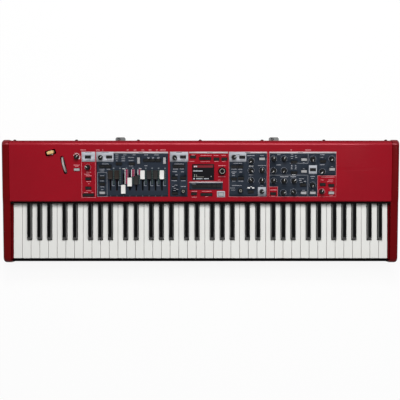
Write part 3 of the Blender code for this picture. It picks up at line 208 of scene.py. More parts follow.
# A sheet on a grid of lines with the cells inside any window left out; place turns (x, s) into points
def windowSheet(xLines, sLines, windows, place):
    xLines, sLines = np.unique(np.round(xLines, 7)), np.unique(np.round(sLines, 7))
    middleX = (xLines[1:] + xLines[:-1]) / 2
    middleS = (sLines[1:] + sLines[:-1]) / 2
    kept = np.ones((len(middleS), len(middleX)), bool)
    for x0, x1, s0, s1 in windows:
        kept &= ~(((middleX > x0) & (middleX < x1))[None] & ((middleS > s0) & (middleS < s1))[:, None])
    s, x = np.meshgrid(sLines, xLines, indexing="ij")
    quads = gridQuads(len(sLines), len(xLines))[kept.ravel()]
    used, quads = np.unique(quads, return_inverse=True)
    return place(x.ravel()[used], s.ravel()[used]), quads.reshape(-1, 4), []


# A flat printed sheet over the panel, cut where the buttons stand
def printedSheet(rects, windows, height):
    surfaces = []
    for x0, x1, v0, v1 in rects:
        inside = [w for w in windows if w[0] < x1 and w[1] > x0 and w[2] < v1 and w[3] > v0]
        inside = [(max(w[0], x0), min(w[1], x1), max(w[2], v0), min(w[3], v1)) for w in inside]
        xLines = np.array([x0, x1] + [e for w in inside for e in w[:2]])
        vLines = np.array([v0, v1] + [e for w in inside for e in w[2:]])
        surfaces.append(windowSheet(xLines, vLines, inside,
                                    lambda x, v: np.column_stack([x, v, np.full_like(x, height)])))
    return laidOnPanel(joined(surfaces))


# Boxes (x from, x to, v from, v to) of the flat faces of a CAD node that lie at one height over the panel
def islandsAt(node, level, reach=0.00002):
    mesh = frame["nodes"][node].data
    points = np.zeros(len(mesh.vertices) * 3)
    mesh.vertices.foreach_get("co", points)
    corners = np.zeros(len(mesh.polygons) * 3, int)
    mesh.polygons.foreach_get("vertices", corners)
    points = offPanel(points.reshape(-1, 3))
    places, same = np.unique(np.round(points, 5), axis=0, return_inverse=True)
    triangles = same.ravel()[corners.reshape(-1, 3)]
    triangles = triangles[(abs(places[triangles][:, :, 2] - level) < reach).all(1)]
    label = np.arange(len(places))
    settled = False
    while not settled:  # corners of one face take the lowest label until nothing changes
        lowest = label[triangles].min(1)
        before = label.copy()
        np.minimum.at(label, triangles, lowest[:, None])
        settled = (before == label).all()
    used = np.unique(triangles)
    boxes = []
    for group in np.unique(label[used]):
        x, v = places[used[label[used] == group]][:, :2].T
        boxes.append((x.min(), x.max(), v.min(), v.max()))
    return np.array(boxes)


# Adds a shader node; inputs may be plain values or the output sockets of other nodes
def addNode(tree, kind, inputs=None, **settings):
    node = tree.nodes.new(kind)
    for key, value in settings.items():
        setattr(node, key, value)
    for key, value in (inputs or {}).items():
        if isinstance(value, bpy.types.NodeSocket):
            tree.links.new(value, node.inputs[key])
        else:
            node.inputs[key].default_value = value
    return node


def startFinish(name, rough, metallic, specular, coat):
    material = bpy.data.materials.new(name)
    material.use_nodes = True
    shader = material.node_tree.nodes["Principled BSDF"]
    shader.inputs["Roughness"].default_value = rough
    shader.inputs["Metallic"].default_value = metallic
    shader.inputs["Specular IOR Level"].default_value = specular
    shader.inputs["Coat Weight"].default_value = coat
    shader.inputs["Coat Roughness"].default_value = 0.12
    return material, material.node_tree, shader


# Object coordinates, turned and scaled
def objectSpace(tree, scale, turn=(0, 0, 0)):
    place = addNode(tree, "ShaderNodeTexCoord")
    inputs = {"Vector": place.outputs["Object"], "Scale": scale, "Rotation": turn}
    return addNode(tree, "ShaderNodeMapping", inputs).outputs["Vector"]


# A colour between the stops (position, colour), by where factor lies
def toneRamp(tree, factor, stops):
    ramp = addNode(tree, "ShaderNodeValToRGB", {"Fac": factor})
    elements = ramp.color_ramp.elements
    while len(elements) < len(stops):
        elements.new(0.5)
    for element, (position, colour) in zip(elements, stops):
        element.position = position
        element.color = (*colour, 1)
    return ramp.outputs["Color"]


# Relief from a height, its distance in metres
def addRelief(tree, shader, height, distance):
    bump = addNode(tree, "ShaderNodeBump", {"Height": height, "Strength": 1, "Distance": distance})
    tree.links.new(bump.outputs["Normal"], shader.inputs["Normal"])


def scaled(colour, factor):
    return tuple(min(1, channel * factor) for channel in colour)


# A finish in object space: broad noise drifts the tone by +-drift, fine noise sets the grain's relief and
# moves the roughness by a sixth
def makeFinish(name, base, rough, drift=0.06, metallic=0.0, specular=0.10, coat=0.0,
               grain=1400, relief=0.00001, patch=14, stretch=(1, 1, 1)):
    material, tree, shader = startFinish(name, rough, metallic, specular, coat)
    broadPlace = objectSpace(tree, tuple(patch * s for s in stretch))
    broad = addNode(tree, "ShaderNodeTexNoise", {"Vector": broadPlace, "Scale": 1, "Detail": 3, "Roughness": 0.55})
    stops = ((0.3, scaled(base, 1 - drift)), (0.7, scaled(base, 1 + drift)))
    tree.links.new(toneRamp(tree, broad.outputs["Fac"], stops), shader.inputs["Base Color"])
    finePlace = objectSpace(tree, tuple(grain * s for s in stretch))
    fine = addNode(tree, "ShaderNodeTexNoise", {"Vector": finePlace, "Scale": 1, "Detail": 2})
    limits = {"Value": fine.outputs["Fac"], "To Min": rough * 0.84, "To Max": min(1, rough * 1.16)}
    spread = addNode(tree, "ShaderNodeMapRange", limits)
    tree.links.new(spread.outputs["Result"], shader.inputs["Roughness"])
    addRelief(tree, shader, fine.outputs["Fac"], relief)
    return material


# Wood: rings of a wave along the grain, bent by noise, between a pale and a deep tone
def makeWood(name, pale, deep, turn):
    material, tree, shader = startFinish(name, 0.42, 0, 0.15, 0.05)
    place = objectSpace(tree, (60, 620, 620), (0, 0, turn))
    waves = {"Vector": place, "Scale": 0.5, "Distortion": 5, "Detail": 3, "Detail Scale": 1.4}
    wave = addNode(tree, "ShaderNodeTexWave", waves, wave_type="BANDS", bands_direction="Y")
    stops = ((0.1, deep), (0.55, pale), (0.95, scaled(pale, 1.12)))
    tree.links.new(toneRamp(tree, wave.outputs["Fac"], stops), shader.inputs["Base Color"])
    addRelief(tree, shader, wave.outputs["Fac"], 0.00003)
    return material


# Stone: two sizes of noise mixed, with darker veins where a bent wave crosses its middle
def makeStone(name, pale, vein):
    material, tree, shader = startFinish(name, 0.20, 0, 1.0, 0.0)
    place = objectSpace(tree, (110, 110, 110))
    cloud = addNode(tree, "ShaderNodeTexNoise", {"Vector": place, "Scale": 1, "Detail": 6, "Distortion": 0.8})
    bands = {"Vector": place, "Scale": 0.35, "Distortion": 9, "Detail": 4}
    band = addNode(tree, "ShaderNodeTexWave", bands, wave_type="BANDS", bands_direction="DIAGONAL")
    cloudTone = toneRamp(tree, cloud.outputs["Fac"], ((0.3, scaled(pale, 0.86)), (0.65, pale)))
    veinTone = toneRamp(tree, band.outputs["Fac"], ((0.0, vein), (0.12, (1, 1, 1)), (1.0, (1, 1, 1))))
    mix = addNode(tree, "ShaderNodeMix", data_type="RGBA", blend_type="MULTIPLY")
    mix.inputs["Factor"].default_value = 0.5
    tree.links.new(cloudTone, mix.inputs["A"])
    tree.links.new(veinTone, mix.inputs["B"])
    tree.links.new(mix.outputs["Result"], shader.inputs["Base Color"])
    addRelief(tree, shader, cloud.outputs["Fac"], 0.00004)
    return material


# Light of a lamp or a display: the same colour glows at a strength at or under 1
def makeGlow(name, colour, strength):
    material, tree, shader = startFinish(name, 0.3, 0, 0.1, 0)
    place = objectSpace(tree, (900, 900, 900))
    noise = addNode(tree, "ShaderNodeTexNoise", {"Vector": place, "Scale": 1, "Detail": 1})
    tone = toneRamp(tree, noise.outputs["Fac"], ((0.3, scaled(colour, 0.88)), (0.7, colour)))
    tree.links.new(tone, shader.inputs["Emission Color"])
    shader.inputs["Emission Strength"].default_value = strength
    shader.inputs["Base Color"].default_value = (*scaled(colour, 0.4), 1)
    return material


# One object of several (surface, finish) layers
def addPiece(name, layers, body="case", replaces=(), **looks):
    points, faces, slots, total = [], [], [], 0
    finishes = list(dict.fromkeys(finish for _, finish in layers))
    for (somePoints, quads, caps), finish in layers:
        points.append(somePoints)
        faces += (quads + total).tolist() + [(cap + total).tolist() for cap in caps]
        slots += [finishes.index(finish)] * (len(quads) + len(caps))
        total += len(somePoints)
    mesh = bpy.data.meshes.new(name)
    mesh.from_pydata(np.concatenate(points).tolist(), [], faces)
    mesh.polygons.foreach_set("material_index", slots)
    return finishPiece(name, mesh, finishes, body, replaces, **looks)


# Turns closed shells outward, smooths up to an angle in degrees, adds sheet thickness or rounded edges
def finishPiece(name, mesh, finishes, body, replaces, smooth=32, bevel=0.0, segments=2, thickness=0.0,
                closedShells=True, weld=False):
    shell = bmesh.new()
    shell.from_mesh(mesh)
    if weld:
        bmesh.ops.remove_doubles(shell, verts=shell.verts, dist=0.000001)
    if closedShells:
        bmesh.ops.recalc_face_normals(shell, faces=shell.faces)
    shell.to_mesh(mesh)
    shell.free()
    for finish in finishes:
        mesh.materials.append(finish)
    mesh.polygons.foreach_set("use_smooth", [True] * len(mesh.polygons))
    mesh.set_sharp_from_angle(angle=math.radians(smooth))
    piece = bpy.data.objects.new(name, mesh)
    bpy.context.scene.collection.objects.link(piece)
    if thickness:
        sheet = piece.modifiers.new("thickness", "SOLIDIFY")
        sheet.thickness, sheet.offset, sheet.use_even_offset = thickness, -1, True
    if bevel:
        edge = piece.modifiers.new("edge", "BEVEL")
        edge.width, edge.segments, edge.limit_method, edge.angle_limit = bevel, segments, "ANGLE", math.radians(40)
    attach(piece, body)
    for node in replaces:
        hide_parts(node)
    return piece


# A measure of three values for each face
def readFaces(mesh, measure):
    values = np.zeros(len(mesh.polygons) * 3)
    mesh.polygons.foreach_get(measure, values)
    return values.reshape(-1, 3)


# A CAD node's own shell, joined up again and with its edges rounded; pick gives each face its finish by its centre,
# and cutAbove takes off what stands higher over the panel
def dress(node, finishes, bevel=0.0004, segments=2, pick=None, cutAbove=None):
    source = frame["nodes"][node]
    mesh = source.data.copy()
    mesh.name = f"{node}_dressed"
    mesh.materials.clear()
    shell = bmesh.new()
    shell.from_mesh(mesh)
    bmesh.ops.remove_doubles(shell, verts=shell.verts, dist=0.000002)
    if cutAbove is not None:
        parts = shell.verts[:] + shell.edges[:] + shell.faces[:]
        cut = bmesh.ops.bisect_plane(shell, geom=parts, plane_co=onPanel([0, 0.07, cutAbove]),
                                     plane_no=(0, -tiltSin, tiltCos), clear_outer=True)
        rims = [part for part in cut["geom_cut"] if isinstance(part, bmesh.types.BMEdge)]
        bmesh.ops.edgenet_fill(shell, edges=rims)
    bmesh.ops.dissolve_limit(shell, angle_limit=math.radians(0.6), verts=shell.verts, edges=shell.edges)
    shell.to_mesh(mesh)
    shell.free()
    slots = pick(readFaces(mesh, "center")) if pick else np.zeros(len(mesh.polygons))
    mesh.polygons.foreach_set("material_index", slots.astype(int))
    body = source.parent.name.split(":")[1]
    return finishPiece(f"{node}_dressed", mesh, finishes, body, (node,), 35, bevel, segments)


# One more finish for the faces that are chosen by a measure
def refinish(piece, finish, chosen, measure="center"):
    mesh = piece.data
    mesh.materials.append(finish)
    slots = np.zeros(len(mesh.polygons), np.int32)
    mesh.polygons.foreach_get("material_index", slots)
    slots[chosen(readFaces(mesh, measure))] = len(mesh.materials) - 1
    mesh.polygons.foreach_set("material_index", slots)


# Each point goes down by sink times its share of the piece's height, so the foot stays and a pressed key keeps clear
def lowerTips(piece, sink):
    mesh = piece.data
    places = np.zeros(len(mesh.vertices) * 3)
    mesh.vertices.foreach_get("co", places)
    heights = places[2::3]
    places[2::3] = heights - sink * (heights - heights.min()) / np.ptp(heights)
    mesh.vertices.foreach_set("co", places)
    mesh.update()


# Finishes; the colours are linear and can be changed here
tones = {
    "panelRed": (0.285, 0.0015, 0.010),
    "cheekRed": (0.135, 0.0004, 0.0016),
    "slate": (0.020, 0.0265, 0.039),
    "headerGrey": (0.46, 0.475, 0.52),
    "stripGrey": (0.60, 0.56, 0.58),
    "inkWhite": (0.88, 0.88, 0.88),
    "inkPink": (0.70, 0.27, 0.30),
    "inkGrey": (0.38, 0.39, 0.43),
    "whiteKey": (0.80, 0.80, 0.772),
    "blackKey": (0.0025, 0.0025, 0.0028),
    "capDark": (0.012, 0.012, 0.012),
    "capCream": (0.38, 0.38, 0.39),
    "knobBlack": (0.009, 0.009, 0.0085),
    "knobRing": (0.36, 0.345, 0.31),
    "brown": (0.024, 0.019, 0.016),
    "cream": (0.79, 0.78, 0.75),
    "woodPale": (0.74, 0.52, 0.24),
    "woodDeep": (0.52, 0.31, 0.11),
    "stonePale": (0.37, 0.335, 0.325),
    "stoneVein": (0.30, 0.27, 0.26),
    "bracket": (0.13, 0.13, 0.13),
    "steelBlack": (0.009, 0.009, 0.010),
    "glass": (0.006, 0.006, 0.008),
}
panelRed = makeFinish("panel_red_paint", tones["panelRed"], 0.23, 0.05, specular=0.13, grain=1600, relief=0.000006)
panelBend = makeFinish("panel_bend_paint", tones["panelRed"], 0.23, 0.05, specular=0.85, grain=1600,
                       relief=0.000006)
cheekBend = makeFinish("cheek_bend_lacquer", tones["cheekRed"], 0.22, 0.07, specular=0.75, grain=700,
                       relief=0.000004)
# Darker red for the rear skirt: painted shade, the panel's rear face drawn darker than its paint
panelSkirtShade = makeFinish("panel_skirt_paint", (0.185, 0.001, 0.006), 0.30, 0.05, specular=0.06, grain=1600)
# Red for the blocks beside the keys, darker than the cheeks' as painted shade of the cheeks' inner sides
endBlockShadedRed = makeFinish("end_block_red", (0.105, 0.0006, 0.0030), 0.40, 0.10, specular=0.05)
scaleInk = makeFinish("scale_ink", (0.22, 0.24, 0.27), 0.55, 0.05)
for finish in (panelBend, cheekBend):  # the polished bends mirror a tinted light
    finish.node_tree.nodes["Principled BSDF"].inputs["Specular Tint"].default_value = (1, 0.32, 0.37, 1)
cheekRed = makeFinish("cheek_red_lacquer", tones["cheekRed"], 0.22, 0.07, specular=0.07, grain=700, relief=0.000004)
slateInk = makeFinish("slate_ink", tones["slate"], 0.50, 0.05, specular=0.08, grain=2200, relief=0.000004)
headerInk = makeFinish("header_ink", tones["headerGrey"], 0.50, 0.03, grain=2200, relief=0.000004)
stripInk = makeFinish("strip_ink", tones["stripGrey"], 0.50, 0.03, grain=2200, relief=0.000004)
whiteInk = makeFinish("white_ink", tones["inkWhite"], 0.55, 0.03)
pinkInk = makeFinish("pink_ink", tones["inkPink"], 0.55, 0.04)
greyInk = makeFinish("grey_ink", tones["inkGrey"], 0.55, 0.05)
whiteKey = makeFinish("white_key_plastic", tones["whiteKey"], 0.26, 0.012, specular=0.2, patch=30, relief=0.000003)
blackKey = makeFinish("black_key_top", tones["blackKey"], 0.42, 0.10, specular=0.03, patch=40, relief=0.000008)
blackKeyGloss = makeFinish("black_key_gloss", tones["blackKey"], 0.16, 0.10, specular=0.5, patch=40, relief=0.000002)
capDark = makeFinish("dark_cap_plastic", tones["capDark"], 0.48, 0.10, patch=60, relief=0.000008)
capCream = makeFinish("cream_cap_plastic", tones["capCream"], 0.45, 0.03, patch=60, relief=0.000008)
knobBlack = makeFinish("knob_plastic", tones["knobBlack"], 0.46, 0.12, patch=80, relief=0.00001)
dialBlack = makeFinish("dial_plastic", (0.005, 0.005, 0.005), 0.50, 0.12, specular=0.04, patch=80, relief=0.00001)
knobRing = makeFinish("knob_ring", tones["knobRing"], 0.40, 0.05, patch=120)
brownPlastic = makeFinish("brown_plastic", tones["brown"], 0.34, 0.10, patch=60, relief=0.000006)
creamPlastic = makeFinish("cream_plastic", tones["cream"], 0.30, 0.02, specular=0.2, patch=60, relief=0.000004)
blackBar = makeFinish("black_drawbar", (0.027, 0.026, 0.025), 0.40, 0.10, patch=60, relief=0.000006)
slipPlastic = makeFinish("slip_plastic", (0.0015, 0.0015, 0.0017), 0.50, 0.12, specular=0.03, relief=0.00002)
socketPlastic = makeFinish("socket_plastic", (0.005, 0.005, 0.0055), 0.45, 0.12, relief=0.00001)
# Reddish black felt; its colour also serves as painted shade, under the panel's lip and in the brackets' holes
feltBlackPaintedShade = makeFinish("lip_felt", (0.006, 0.0035, 0.0035), 0.95, 0.25, specular=0.02, grain=2600, relief=0.00008)
screwSteel = makeFinish("screw_steel", (0.16, 0.16, 0.17), 0.36, 0.06, metallic=1)
blackSteel = makeFinish("black_steel", tones["steelBlack"], 0.52, 0.12, metallic=0.2, grain=1100, relief=0.00002)
bracketSteel = makeFinish("bracket_steel", tones["bracket"], 0.42, 0.10, metallic=0.55, stretch=(0.15, 1, 1))
aluminium = makeFinish("rolled_aluminium", (0.45, 0.45, 0.44), 0.40, 0.05, metallic=1, stretch=(0.05, 1, 1))
springSteel = makeFinish("spring_steel", (0.55, 0.56, 0.58), 0.30, 0.05, metallic=1, stretch=(1, 0.08, 1))
nickel = makeFinish("nickel", (0.62, 0.60, 0.56), 0.22, 0.04, metallic=1)
boardBlack = makeFinish("board_black", (0.003, 0.0045, 0.004), 0.42, 0.15, specular=0.05, patch=200)
silicone = makeFinish("silicone", (0.030, 0.032, 0.036), 0.62, 0.08)
rubber = makeFinish("rubber", (0.010, 0.010, 0.010), 0.85, 0.15, relief=0.00004, grain=900)
displayGlass = makeFinish("display_glass", tones["glass"], 0.08, 0.05, specular=0.08, relief=0.000001)
ledOff = makeFinish("lamp_off", (0.055, 0.085, 0.072), 0.30, 0.20, patch=400)
ledRed = makeGlow("lamp_red", (0.46, 0.045, 0.12), 0.7)
screenWhite = makeGlow("screen_white", (0.70, 0.74, 0.80), 0.45)
screenDim = makeGlow("screen_dim", (0.36, 0.37, 0.33), 0.45)
screenRed = makeGlow("screen_red", (0.22, 0.020, 0.03), 0.5)
wood = makeWood("stick_wood", tones["woodPale"], tones["woodDeep"], math.radians(-15))
stone = makeStone("wheel_stone", tones["stonePale"], tones["stoneVein"])
print("finishes made")


# Panel sheet: profile by its length s from the front fold, straight lip, round of radius r, slope, rear bend
# of radius R and straight skirt; y and z add up the parts of s that fall on each
panelShape = {"lipRound": 0.0043, "lipBottom": 0.0935, "rearBend": 0.0115, "skirtBottom": 0.086, "half": 0.51388,
              "lipSteps": 8, "bendSteps": 20, "rim": 0.0003, "foldEdge": 0.0006, "skirtShadeFrom": 0.0066}
frontTurn = math.pi / 2 - panelPlane["tilt"]
rearTurn = math.pi / 2 + panelPlane["tilt"]
frontArc = panelShape["lipRound"] * frontTurn
rearArc = panelShape["rearBend"] * rearTurn


def panelProfile(x, s):
    r, bend, length = panelShape["lipRound"], panelShape["rearBend"], panelPlane["slope"]
    front = np.clip(-s / r, 0, frontTurn)
    rear = np.clip((s - length) / bend, 0, rearTurn)
    along = np.clip(s, 0, length)
    drop = np.clip(-s - frontArc, 0, None) + np.clip(s - length - rearArc, 0, None)
    y = panelPlane["foldY"] + along * tiltCos + r * (np.cos(rearTurn + front) - math.cos(rearTurn))
    y = y + bend * (np.cos(rearTurn - rear) - math.cos(rearTurn))
    z = panelPlane["foldZ"] + along * tiltSin + r * (np.sin(rearTurn + front) - math.sin(rearTurn))
    z = z + bend * (np.sin(rearTurn - rear) - math.sin(rearTurn)) - drop
    return np.column_stack([x, y, z])


lipEnd = panelProfile(np.zeros(1), np.array([-frontArc]))[0]
bendEnd = panelProfile(np.zeros(1), np.array([panelPlane["slope"] + rearArc]))[0]
lipLength = lipEnd[2] - panelShape["lipBottom"]
skirtLength = bendEnd[2] - panelShape["skirtBottom"]
rearFace = bendEnd[1]


# Boxes in one row and less than the gap apart become one box
def mergedRows(boxes, gap):
    boxes = boxes[np.lexsort((boxes[:, 0], np.round(boxes[:, 2], 4)))]
    rows = [boxes[0]]
    for box in boxes[1:]:
        last = rows[-1]
        if abs(box[2:] - last[2:]).max() < 0.0001 and box[0] - last[1] < gap:
            rows[-1] = np.array([last[0], box[1], last[2], last[3]])
        else:
            rows.append(box)
    return np.array(rows)


# Middles (x, v) of boxes (x from, x to, v from, v to)
def middles(boxes):
    return np.column_stack([boxes[:, :2].mean(1), boxes[:, 2:].mean(1)])


# What stands through the panel, read from the CAD by the height of its top; caps closer than the bridge share a window
tops = {"cap": 0.003, "knob": 0.0135, "dial": 0.015, "drawbar": 0.0095, "lens": 0.0015}
opening = {"bridge": 0.0022, "capMargin": 0.0009, "lensMargin": 0.0005}
grow = np.array([-1, 1, -1, 1])
mats = ("left_button_mat", "centre_button_mat", "right_button_mat")
capBoxes = np.concatenate([islandsAt(mat, tops["cap"]) for mat in mats])
capWindows = mergedRows(capBoxes, opening["bridge"]) + opening["capMargin"] * grow
boardKnobs = middles(islandsAt("control_board", tops["knob"]))
turningNodes = ("master_level_knob", "organ_volume_knob", "piano_volume_knob", "synth_volume_knob", "filter_knob",
                "effect_rate_knob", "reverb_knob")
turningKnobs = {node: middles(islandsAt(node, tops["knob"]))[0] for node in turningNodes}
dialPlace = middles(islandsAt("program_dial", tops["dial"]))[0]
drawbarPlaces = np.array([middles(islandsAt(f"drawbar_{i}", tops["drawbar"]))[0] for i in range(1, 10)])
lensBox = islandsAt("display_lens", tops["lens"])[0]
slot = {"half": 0.002, "near": 0.0261, "far": 0.0721}
openings = [tuple(w) for w in capWindows] + [tuple(lensBox + opening["lensMargin"] * grow)]
openings += [(x - slot["half"], x + slot["half"], slot["near"], slot["far"]) for x in drawbarPlaces[:, 0]]
print("openings:", len(openings), "fixed knobs:", len(boardKnobs))

# The levers' places; each slot is a superellipse in a window of the panel's grid, and ears carry the axle at a depth
levers = {
    "stick": {"x": -0.402, "v": 0.128, "turn": math.radians(15), "half": (0.0146, 0.0073), "power": 6,
              "window": (-0.4195, -0.3845, 0.1155, 0.1405), "depth": 0.018, "ear": 0.0094},
    "wheel": {"x": -0.367, "v": 0.0945, "turn": math.radians(13.3 - 90), "half": (0.02465, 0.0052), "power": 5,
              "window": (-0.3795, -0.3545, 0.0690, 0.1200), "depth": 0.0173, "ear": 0.0073},
}


# Superellipse |a / A|^n + |b / B|^n = 1 at direction angles, turned and moved to the lever's place
def slotOutline(lever, x, s):
    cos, sin = math.cos(lever["turn"]), math.sin(lever["turn"])
    dx, dv = x - lever["x"], s - lever["v"]
    a, b = dx * cos + dv * sin, dv * cos - dx * sin
    halfA, halfB = lever["half"]
    power = lever["power"]
    reach = (abs(a / halfA) ** power + abs(b / halfB) ** power) ** (-1 / power)
    a, b = a * reach, b * reach
    return lever["x"] + a * cos - b * sin, lever["v"] + a * sin + b * cos


# The ring between a window of the grid and the slot's own outline
def slotPatch(xLines, sLines, lever, place):
    x0, x1, s0, s1 = lever["window"]
    xs = xLines[(xLines > x0 - 0.000001) & (xLines < x1 + 0.000001)]
    ss = sLines[(sLines > s0 - 0.000001) & (sLines < s1 + 0.000001)]
    x = np.concatenate([xs, np.full(len(ss) - 1, x1), xs[::-1][1:], np.full(len(ss) - 2, x0)])
    s = np.concatenate([np.full(len(xs), s0), ss[1:], np.full(len(xs) - 1, s1), ss[::-1][1:-1]])
    inX, inS = slotOutline(lever, x, s)
    midX, midS = (x + inX) / 2, (s + inS) / 2
    points = np.concatenate([place(x, s), place(midX, midS), place(inX, inS)])
    return points, gridQuads(3, len(x), True), []


# Chooses the faces behind a place past the end of the slope; the rear bend starts at 0
def pastSlope(extra):
    return lambda centres: centres[:, 1] > onPanel([0, panelPlane["slope"] + extra, 0])[1]


def makePanel():
    length, half, edge = panelPlane["slope"], panelShape["half"], panelShape["foldEdge"]
    windows = openings + [lever["window"] for lever in levers.values()]
    xLines = [-half, half] + [side for w in windows for side in w[:2]]
    sLines = [side for w in windows for side in w[2:]] + [edge, length - edge]
    for lever in levers.values():
        x0, x1, s0, s1 = lever["window"]
        xLines += list(np.linspace(x0, x1, 9))
        sLines += list(np.linspace(s0, s1, 13))
    sLines += [-frontArc - lipLength, -frontArc - lipLength / 2]
    sLines += list(np.linspace(-frontArc, 0, panelShape["lipSteps"] + 1))
    sLines += list(np.linspace(length, length + rearArc, panelShape["bendSteps"] + 1))
    sLines += [length + rearArc + 0.0004, length + rearArc + skirtLength]
    xLines, sLines = np.unique(np.round(xLines, 7)), np.unique(np.round(sLines, 7))
    xLines = xLines[np.insert(np.diff(xLines) > 0.000002, 0, True)]
    sLines = sLines[np.insert(np.diff(sLines) > 0.000002, 0, True)]
    surfaces = [windowSheet(xLines, sLines, windows, panelProfile)]
    surfaces += [slotPatch(xLines, sLines, lever, panelProfile) for lever in levers.values()]
    sheet = addPiece("panel_sheet", [(joined(surfaces), panelRed)], replaces=("top_panel",), bevel=panelShape["rim"],
                     thickness=panelPlane["sheet"], closedShells=False, weld=True)
    refinish(sheet, panelBend, pastSlope(0))
    # past the bend the rear skirt takes the darker red, painted shade of the rear face
    refinish(sheet, panelSkirtShade, pastSlope(panelShape["skirtShadeFrom"]))
    ear = {"length": 0.011, "thick": 0.003, "below": 0.0055, "top": -0.0021}
    ears = []
    for lever in levers.values():
        across = np.array([-math.sin(lever["turn"]), math.cos(lever["turn"])]) * lever["ear"]
        x, v = lever["x"] + np.array([1, -1]) * across[0], lever["v"] + np.array([1, -1]) * across[1]
        ears.append(bars(x, v, ear["length"], ear["thick"], lever["turn"], -lever["depth"] - ear["below"], ear["top"]))
    addPiece("lever_ears", [(laidOnPanel(joined(ears)), blackSteel)], bevel=0.0004)
    print("panel: grid of", len(xLines), "by", len(sLines))


makePanel()


# Keyboard: white keys are one pitch apart from an E, and black keys stand in their real places
keys = {"pitch": 0.165 / 7, "count": 43, "gap": 0.001, "front": -0.1595, "headEnd": -0.111, "rear": 0.044,
        "bottom": 0.062, "top": 0.080, "frontRound": 0.0013, "sideEase": 0.0004, "corner": 0.0008,
        "blackSlot": 0.0141, "blackBase": 0.0125, "blackTop": 0.0098, "blackRise": 0.012, "blackFront": -0.1095,
        "blackSlope": 0.008, "blackRound": 0.0016, "blackFoot": 0.0006, "blackCurve": 1.7, "blackBottom": 0.066,
        "blackRear": 0.034, "step": -0.001, "tail": 0.0835, "middle": range(19, 26)}
sharpShift = {0: -1 / 6, 1: 1 / 6, 3: -1 / 4, 4: 0, 5: 1 / 4}
letters = "cdefgab"


def letterOf(index):
    return (index + 2) % 7


def hasSharp(index):
    return 0 <= index < keys["count"] - 1 and letterOf(index) in sharpShift


def boundaryX(index):
    return (index - keys["count"] / 2) * keys["pitch"]


def sharpX(index):
    return boundaryX(index + 1) + sharpShift[letterOf(index)] * keys["blackSlot"]


# White key: an L or T outline of ten points drawn in at the sides by a(z) and at the front by b(z), where each
# follows a quarter circle below the top edge
def whiteKeyShape(index):
    left, right = boundaryX(index) + keys["gap"] / 2, boundaryX(index + 1) - keys["gap"] / 2
    tailLeft = sharpX(index - 1) + keys["blackSlot"] / 2 if hasSharp(index - 1) else left + 0.00002
    tailRight = sharpX(index) - keys["blackSlot"] / 2 if hasSharp(index) else right - 0.00002
    cut, front, head, rear = keys["corner"], keys["front"], keys["headEnd"], keys["rear"]
    outline = np.array([(left + cut, front), (right - cut, front), (right, front + cut), (right, head),
                        (tailRight, head), (tailRight, rear), (tailLeft, rear), (tailLeft, head), (left, head),
                        (left, front + cut)])
    sideways = np.array([0.4, -0.4, -1, -1, -1, -1, 1, 1, 1, 1])
    forward = np.array([1, 1, 0.4, 0, 0, 0, 0, 0, 0, 0.4])
    backward = np.array([0, 0, 0, -1, -1, -1, -1, -1, -1, 0])
    turn = np.linspace(0, math.pi / 2, 6)
    height = keys["top"] - keys["frontRound"] * (1 - np.sin(turn))
    inFront = keys["frontRound"] * (1 - np.cos(turn))
    ease = keys["sideEase"]
    over = np.clip((height - keys["top"] + ease) / ease, 0, 1)
    inSide = ease * (1 - np.sqrt(1 - over ** 2))
    height = np.concatenate([[keys["bottom"]], height, [keys["top"]]])
    inFront = np.concatenate([[0], inFront, inFront[-1:] + 0.0005])
    inSide = np.concatenate([[0], inSide, inSide[-1:] + 0.0005])
    x = outline[:, 0] + inSide[:, None] * sideways
    y = outline[:, 1] + inFront[:, None] * forward + inSide[:, None] * backward
    z = np.broadcast_to(height[:, None], x.shape)
    return stackRings(np.stack([x, y, z], -1))


# Black key: sections along y, each a tapered shape with its top corners rounded, under a front that rises as
# 1 - (1 - s)^1.7, flat to the panel, then low under it
def blackKeyShape(middle):
    steep = np.linspace(0, 1, 8)
    low = keys["top"] + keys["blackFoot"]
    peak = keys["top"] + keys["blackRise"]
    front = keys["blackFront"]
    y = np.concatenate([[front, front], front + keys["blackSlope"] * steep[1:], [keys["step"] - 0.0008]])
    rise = 1 - (1 - steep[1:]) ** keys["blackCurve"]
    top = np.concatenate([[keys["top"], low], low + (peak - low) * rise, [peak]])
    y = np.concatenate([y, [keys["step"], keys["step"] + 0.002, keys["blackRear"]]])
    top = np.concatenate([top, [peak - 0.0004, keys["tail"], keys["tail"]]])
    share = np.clip((top - keys["top"]) / keys["blackRise"], 0, 1)
    half = (keys["blackBase"] + (keys["blackTop"] - keys["blackBase"]) * share) / 2
    radius = np.clip((top - keys["top"]) * 0.45, 0.0002, keys["blackRound"])
    turn = np.linspace(0, math.pi / 2, 6)
    outX = half[:, None] - radius[:, None] * (1 - np.cos(turn))
    outZ = top[:, None] - radius[:, None] * (1 - np.sin(turn))
    baseHalf = np.full((len(y), 1), keys["blackBase"] / 2)
    baseZ, shoulderZ = np.full((len(y), 1), keys["blackBottom"]), np.full((len(y), 1), keys["top"] - 0.0003)
    x = np.concatenate([baseHalf, baseHalf, outX, -outX[:, ::-1], -baseHalf, -baseHalf], 1)
    z = np.concatenate([baseZ, shoulderZ, outZ, outZ[:, ::-1], shoulderZ, baseZ], 1)
    return stackRings(np.stack([x + middle, np.broadcast_to(y[:, None], x.shape), z], -1))


# The tops of the black keys are dull; their sides and sloped fronts are polished
def addBlacks(name, surface, node):
    piece = addPiece(name, [(surface, blackKey)], node, (node,), smooth=25)
    refinish(piece, blackKeyGloss, lambda normals: normals[:, 2] < 0.97, "normal")


